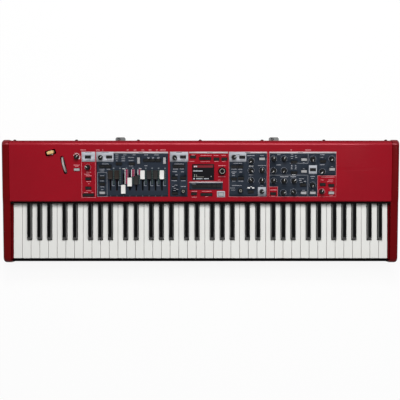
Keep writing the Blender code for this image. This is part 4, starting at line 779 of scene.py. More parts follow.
def makeKeys():
    first, last = keys["middle"].start, keys["middle"].stop
    spans = {"bass": range(0, first), "treble": range(last, keys["count"])}
    for title, indices in spans.items():
        whites = joined([whiteKeyShape(index) for index in indices])
        blacks = joined([blackKeyShape(sharpX(index)) for index in indices if hasSharp(index)])
        node = f"{title}_white_keys"
        addPiece(f"{title}_whites", [(whites, whiteKey)], node, (node,), smooth=25)
        addBlacks(f"{title}_blacks", blacks, f"{title}_black_keys")
    for index in keys["middle"]:
        letter = letters[letterOf(index)]
        node = f"key_{letter}4"
        addPiece(f"white_{letter}4", [(whiteKeyShape(index), whiteKey)], node, (node,), smooth=25)
        if hasSharp(index):
            addBlacks(f"black_{letter}4", blackKeyShape(sharpX(index)), f"key_{letter}_sharp4")
    print("keys made")


makeKeys()


# End cheeks: the side outline is drawn in along its own normals, ring by ring across the thickness
cheek = {"inner": 0.5119857, "thick": 0.022, "front": -0.1707, "bottom": 0.008, "height": 0.088,
         "frontRound": 0.015, "toe": 0.0045, "edgeRound": 0.008, "innerEase": 0.0006, "above": 0.002, "leaf": 0.0022,
         "stepLength": 0.030, "steps": 14}


# Side outline of a cheek: a toe, a quarter round nose, a step that rises as 3 s^2 - 2 s^3, the slope and a round
# tail, at a height above the panel; the leaf that the panel covers has it below zero and rises straight
def cheekOutline(above):
    tilt = panelPlane["tilt"]
    turns = np.linspace(math.pi, math.pi / 2 + tilt, cheek["steps"])
    centre = (cheek["front"] + cheek["frontRound"], cheek["height"] - cheek["frontRound"])
    nose = np.column_stack([centre[0] + cheek["frontRound"] * np.cos(turns),
                            centre[1] + cheek["frontRound"] * np.sin(turns)])
    start = panelPlane["foldY"] - cheek["stepLength"] / 2
    end = start + cheek["stepLength"]
    low = cheek["height"] + (start - centre[0]) * math.tan(tilt)
    high = panelPlane["foldZ"] + (end - panelPlane["foldY"]) * math.tan(tilt) + above
    share = np.linspace(0, 1, cheek["steps"] + 1)
    ease = share * share * (3 - 2 * share) if above > 0 else share
    step = np.column_stack([start + (end - start) * share, low + (high - low) * ease])
    radius = panelShape["rearBend"] + above
    slopeEnd = onPanel([0, panelPlane["slope"], -panelShape["rearBend"]])
    turns = np.linspace(math.pi / 2 + tilt, 0, cheek["steps"] + 4)
    tail = np.column_stack([slopeEnd[1] + radius * np.cos(turns), slopeEnd[2] + radius * np.sin(turns)])
    floor = cheek["bottom"]
    head = [(cheek["front"] + cheek["toe"], floor), (cheek["front"], floor + cheek["toe"])]
    return np.vstack([head, nose, step, tail, [(tail[-1, 0], floor)]])


def makeCheeks():
    outline = cheekOutline(cheek["above"])
    inner = cheekOutline(-panelPlane["sheet"] - 0.0004)
    edge = np.roll(outline, -1, 0) - outline
    edge /= np.linalg.norm(edge, axis=1)[:, None]
    inward = np.column_stack([edge[:, 1], -edge[:, 0]])
    mitre = inward + np.roll(inward, 1, 0)
    mitre /= (mitre * inward).sum(1)[:, None]
    mitre[0] = (math.sqrt(2), 0)
    mitre[-1] = (-1, 0)
    turns = np.linspace(0, math.pi / 2, 9)
    thick, radius, ease, leaf = cheek["thick"], cheek["edgeRound"], cheek["innerEase"], cheek["leaf"]
    across = np.concatenate([[leaf, leaf + ease * 0.3, leaf + ease], thick - radius + radius * np.sin(turns), [thick]])
    inset = np.concatenate([[ease, ease * 0.3, 0], radius * (1 - np.cos(turns)), [radius + 0.001]])
    yz = outline[None] + inset[:, None, None] * mitre[None]
    leafAcross = np.array([0, leaf + 0.0001])
    for name, side in (("left", -1), ("right", 1)):
        x = np.broadcast_to((side * (cheek["inner"] + across))[:, None, None], yz.shape[:2] + (1,))
        outer = stackRings(np.concatenate([x, yz], -1))
        x = np.broadcast_to((side * (cheek["inner"] + leafAcross))[:, None, None], (2, len(inner), 1))
        thin = stackRings(np.concatenate([x, np.broadcast_to(inner, (2, *inner.shape))], -1))
        piece = addPiece(f"{name}_cheek", [(joined([outer, thin]), cheekRed)], replaces=(f"{name}_end_cheek",),
                         smooth=28)
        refinish(piece, cheekBend, pastSlope(0))
    # Red blocks fill the gaps between the keys and the cheeks; their darker red is painted shade of the cheeks' inner
    # sides
    block = {"width": 0.0052, "front": -0.1606, "rear": -0.0052, "low": 0.063, "high": 0.0815}
    x = cheek["inner"] - block["width"] / 2 - 0.0001
    blocks = bars([-x, x], (block["front"] + block["rear"]) / 2, block["width"], block["rear"] - block["front"], 0,
                  block["low"], block["high"])
    addPiece("end_blocks", [(blocks, endBlockShadedRed)], bevel=0.0005)
    print("cheeks made")


makeCheeks()


# Felt strip under the lip, a black piece that also stands in as painted shade for part of the shadow under the lip: a
# half ellipse y = edge - out cos t, z = middle + half sin t, drawn along x
def feltShadeStrip(felt):
    turn = np.linspace(-math.pi / 2, math.pi / 2, 13)
    low, high = felt["low"], felt["high"]
    y = np.concatenate([[lipEnd[1]], lipEnd[1] - 0.0004 - felt["out"] * np.cos(turn), [lipEnd[1]]])
    z = np.concatenate([[low], (low + high) / 2 + (high - low) / 2 * np.sin(turn), [high]])
    return drawnAlong(np.linspace(-1, 1, 33) * (panelShape["half"] - 0.001), y, z)


# Key slip: an outline of its front, its rounded top and the flange behind it, drawn along x
def slipShape(slip):
    low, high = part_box("key_slip")
    front, rear, top = low[1] - slip["lead"], high[1] - slip["flange"], high[2]
    turn = np.linspace(0, math.pi / 2, 8)
    fore, aft = slip["frontRound"], slip["rearRound"]
    nose = np.column_stack([front + fore * (1 - np.cos(turn)), top - fore * (1 - np.sin(turn))])
    back = np.column_stack([rear - aft * (1 - np.sin(turn)), top - aft * (1 - np.cos(turn))])
    foot = [(front + slip["toe"], low[2]), (front, low[2] + slip["toe"])]
    flange = [(rear, slip["flangeHeight"]), (high[1], slip["flangeHeight"]), (high[1], low[2])]
    outline = np.vstack([foot, nose, back, flange])
    return drawnAlong(np.linspace(low[0], high[0], 25), outline[:, 0], outline[:, 1])


def makeCase():
    slip = {"lead": 0.0021, "frontRound": 0.0030, "rearRound": 0.0008, "toe": 0.0012, "flange": 0.0024,
            "flangeHeight": 0.040}
    # the felt strip darkens the gap in front of the lip as painted shade
    felt = {"out": 0.0044, "low": 0.0925, "high": 0.0943}
    addPiece("lip_felt", [(feltShadeStrip(felt), feltBlackPaintedShade)], smooth=50)
    addPiece("front_slip", [(slipShape(slip), slipPlastic)], replaces=("key_slip",), smooth=30)
    dress("bottom_tray", [blackSteel], 0.0006)
    for name in ("left", "right"):
        dress(f"{name}_stand_bracket", [bracketSteel], 0.0004)
    dress("keybed_frame", [aluminium], 0.0003)
    dress("power_supply", [aluminium], 0.0008)
    dress("rear_panel", [blackSteel], 0.0003)
    dress("power_inlet", [socketPlastic], 0.0004)
    dress("power_switch", [socketPlastic], 0.0005, 3)
    lowerTips(dress("key_spring_comb", [springSteel], 0.0001, 1), 0.0016)
    for node, finish in (("key_pivot_rod", springSteel), ("key_contact_strip", rubber)):
        mesh = frame["nodes"][node].data
        mesh.materials.clear()
        mesh.materials.append(finish)
    print("case made")


makeCase()


# Button caps are the CAD's own, with rounded edges; the cream ones are given by their places on the panel
creamCaps = millimetres([(-332, 82.3), (-264, 19.9), (-166, 106.5), (-96.5, 106.5), (165.1, 111.1), (277.6, 109.2),
                         (277.6, 77.5), (353.1, 83.1), (277.1, 19.9), (301.8, 19.9), (351.7, 19.9), (55.3, 16)])


# 2 for faces of the mat under the panel, 1 for faces within reach of a cream cap's middle, else 0
def pickCap(centres):
    capReach, matTop = (0.0074, 0.0088), -0.0045
    place = offPanel(centres)
    far = abs(place[:, None, :2] - creamCaps[None]) > np.array(capReach)
    cream = ~far.any(2).all(1)
    return np.where(place[:, 2] < matTop, 2, np.where(cream, 1, 0))


def makeButtons():
    for mat in mats:
        dress(mat, [capDark, capCream, silicone], 0.0007, 3, pick=pickCap)
    print("buttons made")


makeButtons()


# Knobs in their own place: skirt, fluted grip and dished top as (radius, height, ripple), with a white pointer
knob = {"flutes": 16, "sides": 64, "pointerTop": 0.01365, "pointerLow": 0.0128, "pointerWidth": 0.0011}
knobRows = [(0.0062, 0.0008), (0.00663, 0.0010), (0.0067, 0.0014), (0.00667, 0.0024), (0.0062, 0.0030),
            (0.00605, 0.0034, 0.004), (0.00595, 0.0042, 0.022), (0.0056, 0.0122, 0.022), (0.0054, 0.0130, 0.012),
            (0.0051, 0.0134), (0.0047, 0.0135), (0.0044, 0.01345)]
dialRows = [(0.0100, 0.0008), (0.0106, 0.0011), (0.0108, 0.0018), (0.0106, 0.0030, 0.003), (0.0099, 0.0040, 0.014),
            (0.0093, 0.0132, 0.014), (0.0090, 0.0142, 0.004), (0.0085, 0.0148), (0.0080, 0.0150), (0.0074, 0.0149)]


# A surface moved on the panel to (x, v) and turned clockwise, as seen from above
def spunTo(surface, x, v, clockwise):
    cos, sin = math.cos(math.radians(clockwise)), math.sin(math.radians(clockwise))
    points = surface[0]
    a = points[:, 0] * cos + points[:, 1] * sin + x
    b = points[:, 1] * cos - points[:, 0] * sin + v
    return onPanel(np.column_stack([a, b, points[:, 2]])), surface[1], surface[2]


# A bar from near to far along v with rounded ends, its top edge drawn in a little
def pointerBar(near, far, low, top, width):
    bar = rectStack(width, far - near, width * 0.4, [(0, low), (0, top - 0.0001), (0.0001, top)], 2)
    return bar[0] + np.array([0, (near + far) / 2, 0]), bar[1], bar[2]


# Ring between two radii, standing between two heights, with its outer edges eased
def ringBand(inner, outer, low, high, sides=48):
    ease = min(0.0002, (outer - inner) / 4)
    rows = np.array([(inner, low), (outer, low), (outer, high - ease), (outer - ease, high), (inner + ease, high),
                     (inner, high - ease)])
    turn = ringTurns(sides)
    x, y = rows[:, :1] * np.cos(turn), rows[:, :1] * np.sin(turn)
    rings = np.stack([x, y, np.broadcast_to(rows[:, 1:], x.shape)], -1)
    return rings.reshape(-1, 3), gridQuads(len(rows) + 1, sides, True) % rings[..., 0].size, []


knobBody = turnedStack(knobRows, knob["sides"], knob["flutes"])
knobPointer = joined([pointerBar(0.0004, 0.0053, knob["pointerLow"], knob["pointerTop"], knob["pointerWidth"]),
                      pointerBar(0.0052, 0.0060, 0.0042, 0.0131, knob["pointerWidth"])])
encoderRing = ringBand(0.0024, 0.0036, 0.0132, 0.01362)
dialBody = turnedStack(dialRows, 96, 24)
dialRing = ringBand(0.0056, 0.0070, 0.0147, 0.01512, 64)

# Clockwise angle of each pointer from straight up; the encoders have a ring instead
turningAngles = {"master_level_knob": 40, "organ_volume_knob": 50, "piano_volume_knob": 130, "synth_volume_knob": 75,
                 "filter_knob": -130, "effect_rate_knob": 0, "reverb_knob": -150}
encoders = millimetres([(-46.2, 24.7), (107.4, 26.1)])
fixedAngles = np.array([(-302.6, 88.5, -60), (135.9, 80.2, 125), (135.9, 53.8, -40), (165.5, 80.2, 5), (165.5, 52.2, 0),
                        (165.1, 23.7, 65), (224.2, 111.1, 12), (301, 110.6, 185), (196.3, 79.6, -140),
                        (224.2, 79.6, -145), (327, 76.9, -135), (196.3, 52.2, 0), (224.2, 52.2, 0), (251, 52.2, 40),
                        (301, 41.2, 190), (249.7, 22.1, -55), (325.7, 23.4, 20), (222.9, 19.9, 60)])
fixedAngles = fixedAngles * (0.001, 0.001, 1)


def makeKnobs():
    for node, (x, v) in turningKnobs.items():
        angle = turningAngles[node]
        layers = [(spunTo(knobBody, x, v, angle), knobBlack), (spunTo(knobPointer, x, v, angle), whiteInk)]
        addPiece(f"{node}_dressed", layers, node, (node,), smooth=40)
    bodies, pointers, rings = [], [], []
    for x, v in boardKnobs:
        isRing = (abs(encoders - (x, v)).max(1) < 0.001).any()
        near = fixedAngles[abs(fixedAngles[:, :2] - (x, v)).sum(1).argmin()]
        angle = 0 if isRing else near[2]
        bodies.append(spunTo(knobBody, x, v, angle))
        if isRing:
            rings.append(spunTo(encoderRing, x, v, 0))
        else:
            pointers.append(spunTo(knobPointer, x, v, angle))
    layers = [(joined(bodies), knobBlack), (joined(pointers), whiteInk), (joined(rings), knobRing)]
    addPiece("fixed_knobs", layers, smooth=40)
    dress("control_board", [boardBlack], 0, cutAbove=-0.0021)
    x, v = dialPlace
    layers = [(spunTo(dialBody, x, v, 0), dialBlack), (spunTo(dialRing, x, v, 0), knobRing)]
    addPiece("dial_dressed", layers, "program_dial", ("program_dial",), smooth=40)
    print("knobs made")


makeKnobs()


# Drawbar: a stem and a body whose top sinks between its ends by d (1 - (2 v / length)^2); rings are drawn in from
# the outline, over the rounded edge and on to the middle
drawbar = {"width": 0.012, "length": 0.0236, "low": 0.0008, "high": 0.0095, "hollow": 0.0013, "ease": 0.0012,
           "corner": 0.0016, "stemWidth": 0.003, "stemLength": 0.006, "stemLow": -0.0075, "ridge": 0.0003}
drawbarFinishes = {"brown": brownPlastic, "white": creamPlastic, "black": blackBar}
drawbarColours = ("brown", "brown", "white", "white", "black", "white", "black", "black", "white")


def drawbarShape():
    ease, high, length = drawbar["ease"], drawbar["high"], drawbar["length"]
    turns = np.linspace(0, math.pi / 2, 6)
    inset = np.concatenate([[0], ease * (1 - np.cos(turns)), [0.0016, 0.0026, 0.0040, 0.0052, 0.0058]])
    below = np.concatenate([[0], ease * (1 - np.sin(turns)), [0, 0, 0, 0, 0]])
    rings = []
    for i, (d, drop) in enumerate(zip(inset, below)):
        outline = roundedRect(drawbar["width"] - 2 * d, length - 2 * d, max(drawbar["corner"] - d, 0.0001), 5)
        sink = drawbar["hollow"] * (1 - (2 * outline[:, 1] / length) ** 2)
        height = np.full(len(outline), drawbar["low"]) if i == 0 else high - drop - sink
        rings.append(np.column_stack([outline, height]))
    stem = rectStack(drawbar["stemWidth"], drawbar["stemLength"], 0.0004,
                     [(0, drawbar["stemLow"]), (0, drawbar["low"] + 0.0004)], 2)
    middle = high - drawbar["hollow"]
    ridges = bars([0, 0, 0], [-0.0030, 0, 0.0030], 0.0076, 0.0006, 0, middle - 0.0005, middle + drawbar["ridge"])
    return joined([stackRings(np.array(rings)), ridges]), stem


def makeDrawbars():
    body, stem = drawbarShape()
    for i, (x, v) in enumerate(drawbarPlaces):
        finish = drawbarFinishes[drawbarColours[i]]
        layers = [(spunTo(body, x, v, 0), finish), (spunTo(stem, x, v, 0), slipPlastic)]
        node = f"drawbar_{i + 1}"
        addPiece(f"{node}_dressed", layers, node, (node,), smooth=35)
    print("drawbars made")


makeDrawbars()


# A surface made about the z axis, laid along the lever's axle
def axle(surface, depth):
    return surface[0][:, [0, 2, 1]] - np.array([0, 0, depth]), surface[1], surface[2]


# Puts layers made about the origin at the lever's place
def addLever(name, lever, layers, node, smooth):
    place = (lever["x"], lever["v"], -math.degrees(lever["turn"]))
    addPiece(name, [(spunTo(surface, *place), finish) for surface, finish in layers], node, (node,), smooth=smooth)


# Stick: superellipse rings |a / A|^4.5 + |b / B|^4.5 = 1 from its neck up to a domed top
# Wheel: its radius falls across the rim as radius - crown (1 - sqrt(1 - a^2)), a from -1 to 1, on a wider hub
stickShape = {"power": 4.5, "pinRadius": 0.002, "pinHalf": 0.0109}
wheelShape = {"radius": 0.0252, "half": 0.0027, "crown": 0.0022, "sides": 120, "hubRadius": 0.014, "hubHalf": 0.004,
              "hubEase": 0.0005, "pinRadius": 0.002, "pinHalf": 0.0088}


def axlePin(shape, depth):
    radius, half = shape["pinRadius"], shape["pinHalf"]
    return axle(turnedStack([(radius, -half), (radius, half)], 24), depth)


def makeLevers():
    shape, depth = stickShape, levers["stick"]["depth"]
    rows = millimetres([(3.5, 3.5, -4), (3.8, 3.8, 10.5), (8.2, 4.3, 11.6), (9.2, 4.7, 12), (9.5, 4.9, 13.5),
                        (9.4, 4.8, 24), (9.2, 4.6, 26.6), (8.8, 4.2, 28), (8.1, 3.6, 28.7), (7, 2.7, 29),
                        (5.4, 1.6, 29.1)])
    turn = ringTurns(64)
    cos, sin, power = np.cos(turn), np.sin(turn), 2 / shape["power"]
    a = rows[:, :1] * np.sign(cos) * abs(cos) ** power
    b = rows[:, 1:2] * np.sign(sin) * abs(sin) ** power
    rings = np.stack([a, b, np.broadcast_to(rows[:, 2:] - depth, a.shape)], -1)
    layers = [(stackRings(rings), wood), (axlePin(shape, depth), springSteel)]
    addLever("stick_dressed", levers["stick"], layers, "pitch_stick", 40)

    shape, depth = wheelShape, levers["wheel"]["depth"]
    across = np.sin(np.linspace(-math.pi / 2, math.pi / 2, 19))
    reach = shape["radius"] - shape["crown"] * (1 - np.sqrt(1 - across ** 2))
    across = np.concatenate([[-shape["half"]], across * shape["half"], [shape["half"]]])
    reach = np.concatenate([[reach[0] - 0.001], reach, [reach[0] - 0.001]])[:, None]
    turn = ringTurns(shape["sides"])
    x, z = reach * np.cos(turn), reach * np.sin(turn) - depth
    rings = np.stack([x, np.broadcast_to(across[:, None], x.shape), z], -1)
    radius, half, ease = shape["hubRadius"], shape["hubHalf"], shape["hubEase"]
    hub = turnedStack([(radius - ease, -half), (radius, ease - half), (radius, half - ease), (radius - ease, half)], 64)
    layers = [(stackRings(rings), stone), (axle(hub, depth), socketPlastic), (axlePin(shape, depth), springSteel)]
    addLever("wheel_dressed", levers["wheel"], layers, "mod_wheel", 35)
    print("levers made")


makeLevers()


# Display: a glass slab over the panel, and lit marks on it in its own place, x and v from the glass's middle
def makeDisplay():
    x, v = middles(lensBox[None])[0]
    width, length = lensBox[1] - lensBox[0], lensBox[3] - lensBox[2]
    slab = rectStack(width, length, 0.0016, easedRows(-0.001, 0.0015, 0.0005), 5)
    low, high = 0.00145, 0.00154
    bar = [(-26.2, 26.2, 12.6, 18.8)]
    title = [(-24.6, -20.6, 14, 17.2), (-19.6, -16.2, 14, 17.2)]
    words = [(-26.2 + 3.6 * i, -23.3 + 3.6 * i, 2.4, 4.8) for i in range(7)] + [(-26.2, -22.2, -18.8, -15.6)]
    words += [(-18.2 + 3.4 * i, -15.6 + 3.4 * i, -18.4, -16) for i in range(10) if i != 5]
    icons = [(-24.6, -21.4, -12.4, -11.2), (-24.6, -21.4, -6.8, -5.6), (-23.6, -22.4, -11.2, -6.8),
             (-18.6, -17.4, -12.8, -5.6), (-17.4, 2, -12.8, -11.8), (20.2, 23.6, -11, -10), (21, 22.8, -12.6, -11)]
    layers = [(slab, displayGlass)]
    for rects, top, finish in ((bar, high, screenRed), (words, high, screenWhite), (icons, high, screenDim),
                               (title, high + 0.00004, screenWhite)):
        layers.append((plates(millimetres(rects), low, top), finish))
    addPiece("display", [(spunTo(surface, x, v, 0), finish) for surface, finish in layers], replaces=("display_lens",))
    print("display made")


makeDisplay()


# Printed sections as rectangles (x from, x to, v from, v to), at small heights over the paint
ink = {"low": 0.00002, "slate": 0.00007, "header": 0.00011, "text": 0.00016}
slateRects = millimetres([(-279.5, -87, 9.4, 130.2), (-82.2, -34.6, 9.4, 130.2), (76.5, 178.5, 9.4, 130.2),
                          (184.5, 288.6, 36, 130.2), (207.5, 288.6, 9.4, 36), (288.6, 314.7, 9.4, 130.2),
                          (314.7, 364.1, 66.2, 130.2), (-30.1, 59.9, 28, 46.6)])
headerRects = millimetres([(-319, -282.7, 103.3, 130.2), (-279.5, -233.3, 103.3, 130.2), (-82.2, -33, 103.3, 130.2),
                           (44.3, 65.8, 8.1, 24.5), (76.5, 122.7, 103.3, 130.2), (154.4, 175.9, 11.3, 35.5),
                           (290.8, 312.5, 70.7, 93.9)])
stripRects = millimetres([(-233.3, -87, 125.6, 130.2), (-29.8, 73.6, 125.6, 130.2), (-30.1, 59.9, 46.8, 49.8),
                          (122.7, 178.5, 125.6, 130.2), (184.5, 364.1, 125.6, 130.2)])
pinkOutlines = millimetres([(-319, -282.2, 7.5, 130.2), (184.5, 207.5, 9.4, 36), (314.7, 364.1, 9.4, 66.2),
                            (76.5, 178.5, 9.4, 130.2), (184.5, 364.1, 9.4, 130.2)])
greyOutlines = millimetres([(-276.6, -251.1, 9.7, 74.8)])
dividers = millimetres([(288.6, 288.6, 99.3, 125.6), (288.6, 288.6, 11, 66.2), (240.3, 288.6, 99.3, 99.3),
                        (184.5, 288.6, 67.5, 67.5)])


# A row of short dashes that stands for a printed word; lengths and ragged edges come from a seeded generator
dash = {"shortest": 0.5, "pace": 0.9, "gap": 0.2, "lowRag": 0.15, "highRag": 0.25}


def wordDashes(x, v, width, height, seed):
    chance = np.random.default_rng(seed)
    lengths = chance.uniform(dash["shortest"], 1.0, max(2, round(width / (height * dash["pace"]))))
    cells = np.concatenate([[0], np.cumsum(lengths)])
    cells = cells / cells[-1] * width + x - width / 2
    gap = width / len(lengths) * dash["gap"]
    low = v - height / 2 + chance.uniform(0, height * dash["lowRag"], len(lengths))
    high = v + height / 2 - chance.uniform(0, height * dash["highRag"], len(lengths))
    return np.column_stack([cells[:-1], cells[1:] - gap, low, high])


# Words as (x, v, width, height); those on the red paint are pink, those on the slate grey, a few bold ones white
redWords = millimetres([
    (-314.3, 135, 15, 2.6), (-275, 135, 10, 2.6), (-262, 135, 3, 2.6), (-195, 135, 5, 2.4), (-175, 135, 7.5, 2.6),
    (-154.5, 135, 7.5, 2.4), (-135, 135, 7.5, 2.4), (-117, 135, 5, 2.4), (-101, 135, 16, 2.6), (243, 135, 5, 2.4),
    (289, 135, 15, 2.6)])
slateWords = millimetres([
    (-224, 121.8, 8.5, 2), (-203, 121.8, 8.5, 2), (-178, 121.8, 8, 1.8), (-146, 121.8, 10, 2), (-118, 121.8, 12, 2),
    (-255, 97.5, 18, 1.8), (-264, 83.5, 12.5, 2), (-247, 83.5, 10, 1.8), (-264, 79, 12, 1.8), (-264, 66, 10, 1.8),
    (-264, 52, 10, 1.6), (-264, 36, 10, 1.8), (-264, 28.5, 6, 1.6), (-57.5, 97.5, 25, 1.8), (-66.5, 84, 13, 2.2),
    (-50, 84, 11, 2.2), (-69, 77, 12, 2.2), (-48, 76.5, 8, 2), (-64, 68, 6, 2), (-70, 52.5, 14, 2),
    (-46.5, 52.5, 12, 2), (-66, 40.5, 8, 2), (-73, 37, 6, 1.8), (-46, 37, 14, 2), (-69, 32, 6, 1.8),
    (-62, 29.5, 6, 1.8), (-70, 26.5, 6, 1.8), (100.2, 99.3, 24, 1.8), (89.7, 83.5, 14, 2), (106.6, 83.5, 11, 2),
    (89.7, 76, 14, 2), (108, 76, 8, 2), (89, 71.5, 7, 1.8), (89, 66.5, 8, 1.8), (89.7, 51.5, 9, 1.8),
    (108.7, 51.5, 13, 2), (97.9, 39.7, 26.5, 2), (86, 33, 14, 1.6), (88, 27.5, 11, 1.6), (135, 120, 20, 2.2),
    (165.1, 120, 10, 1.6), (165.1, 93.5, 22, 1.8), (135.9, 68, 12, 2), (165.1, 39, 9, 1.6), (210, 122.5, 9, 2),
    (245.5, 123.9, 6, 1.8), (245.5, 117.6, 6.5, 2), (245.5, 112.5, 5.5, 2), (255.6, 119.5, 4, 1.8),
    (256.9, 115, 5.5, 2.2), (244.9, 93.5, 3, 3), (244.9, 89, 3.4, 3), (244.9, 84.6, 4, 3), (255.6, 93.5, 3, 2.6),
    (256, 89, 3.4, 2.6), (255.6, 84.6, 3.6, 2.6), (210, 95, 12, 2.4), (225.3, 63.6, 22.5, 2.4),
    (249.3, 63.6, 15, 2.4), (277.6, 101, 6, 1.4), (277.6, 84.5, 5, 1.4), (301, 64, 12, 2.2), (301, 58.8, 8, 1.6),
    (327, 122.5, 11, 2), (325.5, 115, 8, 1.6), (327, 95.5, 12, 2.2), (353.1, 90, 6, 1.4), (271.5, 57.9, 14, 1.8),
    (268.3, 53, 7, 2.2), (281, 50.9, 6, 2.2), (270.9, 47.8, 7, 2), (301.8, 27, 6, 1.4), (277.1, 27, 8, 1.4),
    (-19, 44, 11, 1.4), (-224, 116.5, 8, 1.8), (-207, 116.5, 9, 1.8), (-224, 111.5, 7, 1.8), (-207, 111.5, 10, 1.8),
    (-224, 106, 4, 1.8), (-207, 106, 10, 1.8), (-186, 115, 16, 1.6), (-186, 106.8, 13, 1.8), (-139.4, 115, 6, 1.6),
    (-139.4, 112.5, 4, 1.6), (-127.4, 115, 6, 1.6), (-127.4, 112.5, 4, 1.6), (-113, 115, 7, 1.6),
    (-113, 112.5, 5, 1.6), (-146.3, 92.8, 8, 2), (-186, 92.5, 12, 1.8)])
paintWords = millimetres([
    (-332, 94.5, 16.5, 2.2), (-332, 91.5, 9, 2.2), (-300, 75.5, 12, 2), (-305, 70, 14, 2), (-300, 66, 16, 2.2),
    (-300, 50, 12, 2), (-300, 44.5, 4, 2), (-300, 25.5, 13, 1.8), (-308, 20.5, 11, 1.8), (-291, 20.5, 6, 1.8),
    (-19, 121.5, 10, 1.8), (15, 120.5, 30, 1.8), (41.5, 120.5, 13, 1.8), (62.4, 120.8, 12, 1.8),
    (-22.9, 104.4, 13, 1.8), (12.6, 103.8, 25, 1.4), (62.4, 104.4, 10, 1.8), (43.1, 104.4, 11, 2),
    (57.6, 93.1, 19, 2), (353, 62.5, 14, 2.2), (57.6, 63.3, 20, 1.6), (50.4, 54.4, 8, 1.4), (-16.4, 24, 15, 2.2),
    (-16.4, 8.5, 14, 1.8), (17, 24, 26, 1.8), (16.6, 9.5, 7, 1.6), (196, 27.8, 18.5, 2.4), (196, 11, 10, 1.8),
    (340, 62.5, 30, 2), (327, 54.5, 8, 1.8), (350, 54.5, 13, 2), (348, 50, 15, 1.8), (351.7, 32.5, 10, 1.8),
    (351.7, 27, 6, 1.6), (351.7, 12, 10, 1.6)])
boldWords = millimetres([
    (130, 33.5, 6.5, 4.6), (142, 33.5, 6.5, 4.6), (135.9, 36.5, 6, 2.4), (135.9, 91.8, 12, 2.2),
    (-206, 84.5, 8, 1.8), (-161.3, 85.3, 6, 1.8), (250.6, 68.7, 8.5, 2)])
darkWords = millimetres([
    (-300.8, 128, 18, 1.6), (-256, 128, 20, 1.6), (-160, 128, 12, 1.8), (-301.5, 108, 13, 1.6), (-245, 108, 12, 1.6),
    (-57.5, 128.4, 15, 1.8), (-47, 108, 12, 1.6), (25, 128, 15, 1.6), (126.5, 128.2, 15, 1.8), (112, 108, 13, 1.6),
    (268, 128, 14, 1.8), (100, 122.5, 11, 1.4)])


def makePrints():
    sheets = ((slateRects, "slate", slateInk), (headerRects, "header", headerInk), (stripRects, "header", stripInk))
    layers = [(printedSheet(rects, openings, ink[level]), finish) for rects, level, finish in sheets]
    addPiece("section_prints", layers, thickness=0.00004, closedShells=False)
    layers = []
    for words, finish, seed in ((redWords, pinkInk, 1), (slateWords, greyInk, 2), (paintWords, pinkInk, 3),
                                (darkWords, slipPlastic, 4), (boldWords, whiteInk, 5)):
        dashes = np.concatenate([wordDashes(*word, seed * 100 + i) for i, word in enumerate(words)])
        layers.append((laidOnPanel(plates(dashes, ink["low"], ink["text"])), finish))
    lines = [(outlineBars(pinkOutlines, 0.0007, ink["low"], ink["header"]), pinkInk),
             (outlineBars(greyOutlines, 0.0006, ink["low"], ink["header"]), greyInk),
             (plates(dividers + 0.0003 * grow, ink["low"], ink["header"]), greyInk)]
    addPiece("printed_marks", layers + [(laidOnPanel(surface), finish) for surface, finish in lines])
    print("prints made")


makePrints()


# Lamps beside the drawbars: each column has eight, the lowest lit up to the drawbar's value
lamps = {"aside": 0.0086, "top": 0.083, "width": 0.0036, "length": 0.0030, "low": 0.00002, "high": 0.0006,
         "pitch": 0.004875, "count": 8}
drawbarValues = (0, 0, 8, 4, 3, 0, 0, 0, 0)
# Printed marks: a white line and a pink frame beside lit lamps, an L beside the others, and two small feet
lampMarks = {"line": (-0.0046, -0.0034), "frame": (0.0030, 0.0038), "stem": (0.0034, 0.0048, 0.0384, 0.0520),
             "arm": (0.0048, 0.0108, 0.0384, 0.0400), "foot": (-0.0010, 0.0006, 0.0108, 0.0122),
             "head": (-0.0022, 0.0018, 0.0850, 0.0872)}
smallLamps = millimetres([
    (-310, 99.5), (-293.5, 99.5), (-256, 99.5), (-223, 112), (-188, 112), (-60, 99.5), (-42, 99.5), (102, 99.5),
    (120, 99.5), (246, 112), (256, 112), (246, 83), (256, 83), (322, 113), (335, 113), (270, 48), (282, 48), (322, 50),
    (335, 50), (-270, 69), (-258, 69), (-76, 68), (-56, 68), (84, 65), (96, 65), (102, 67), (115, 67)])


# A rectangle moved along x
def shifted(rect, x):
    return rect[0] + x, rect[1] + x, rect[2], rect[3]


def makeLamps():
    pitch, top = lamps["pitch"], lamps["top"]
    lit, unlit, lines, frames, scales, feet = [], [], [], [], [], []
    for (x, _), value in zip(drawbarPlaces, drawbarValues):
        column = x + lamps["aside"]
        for step in range(lamps["count"]):
            place = (column, top - pitch * (step + 0.5), lamps["width"], lamps["length"])
            (lit if step < value else unlit).append(place)
        if value:
            lines.append(shifted((*lampMarks["line"], top - value * pitch, top), column))
            frames.append(shifted((*lampMarks["frame"], top - value * pitch, top), column))
        else:
            scales += [shifted(lampMarks["stem"], x), shifted(lampMarks["arm"], x)]
        feet += [shifted(lampMarks["foot"], x), shifted(lampMarks["head"], column)]
    dots = []
    for places, finish in ((lit, ledRed), (unlit, ledOff)):
        x, v, width, length = np.array(places).T
        dots.append((laidOnPanel(bars(x, v, width, length, 0, lamps["low"], lamps["high"])), finish))
    marks = ((lines, whiteInk), (frames, pinkInk), (scales + feet, scaleInk))
    marks = [(laidOnPanel(plates(rects, ink["low"], ink["text"])), finish) for rects, finish in marks]
    addPiece("drawbar_lamps", dots, bevel=0.0002)
    addPiece("drawbar_marks", marks)

    lampDot = laidOnPanel(turnedStack([(0.0008, 0.0), (0.0008, 0.0003), (0.0005, 0.0006)], 12))
    offsets = onPanel(np.column_stack([smallLamps, np.zeros(len(smallLamps))])) - onPanel(np.zeros(3))
    addPiece("small_lamps", [(copies(lampDot, offsets), ledOff)])
    print("lamps made")


makeLamps()


# Thin arcs round the knobs as short bars end to end, angles clockwise from straight up; the master knob has a broad
# arc on its right and ticks above it
scale = {"radius": 0.0086, "width": 0.00035, "reach": 140, "steps": 28, "masterWidth": 0.0013, "masterFirst": 70,
         "masterSteps": 8, "tickNear": 0.0078, "tickFar": 0.0106, "tickWidth": 0.0009,
         "ticks": (-60, -40, -20, 0, 20, 42)}


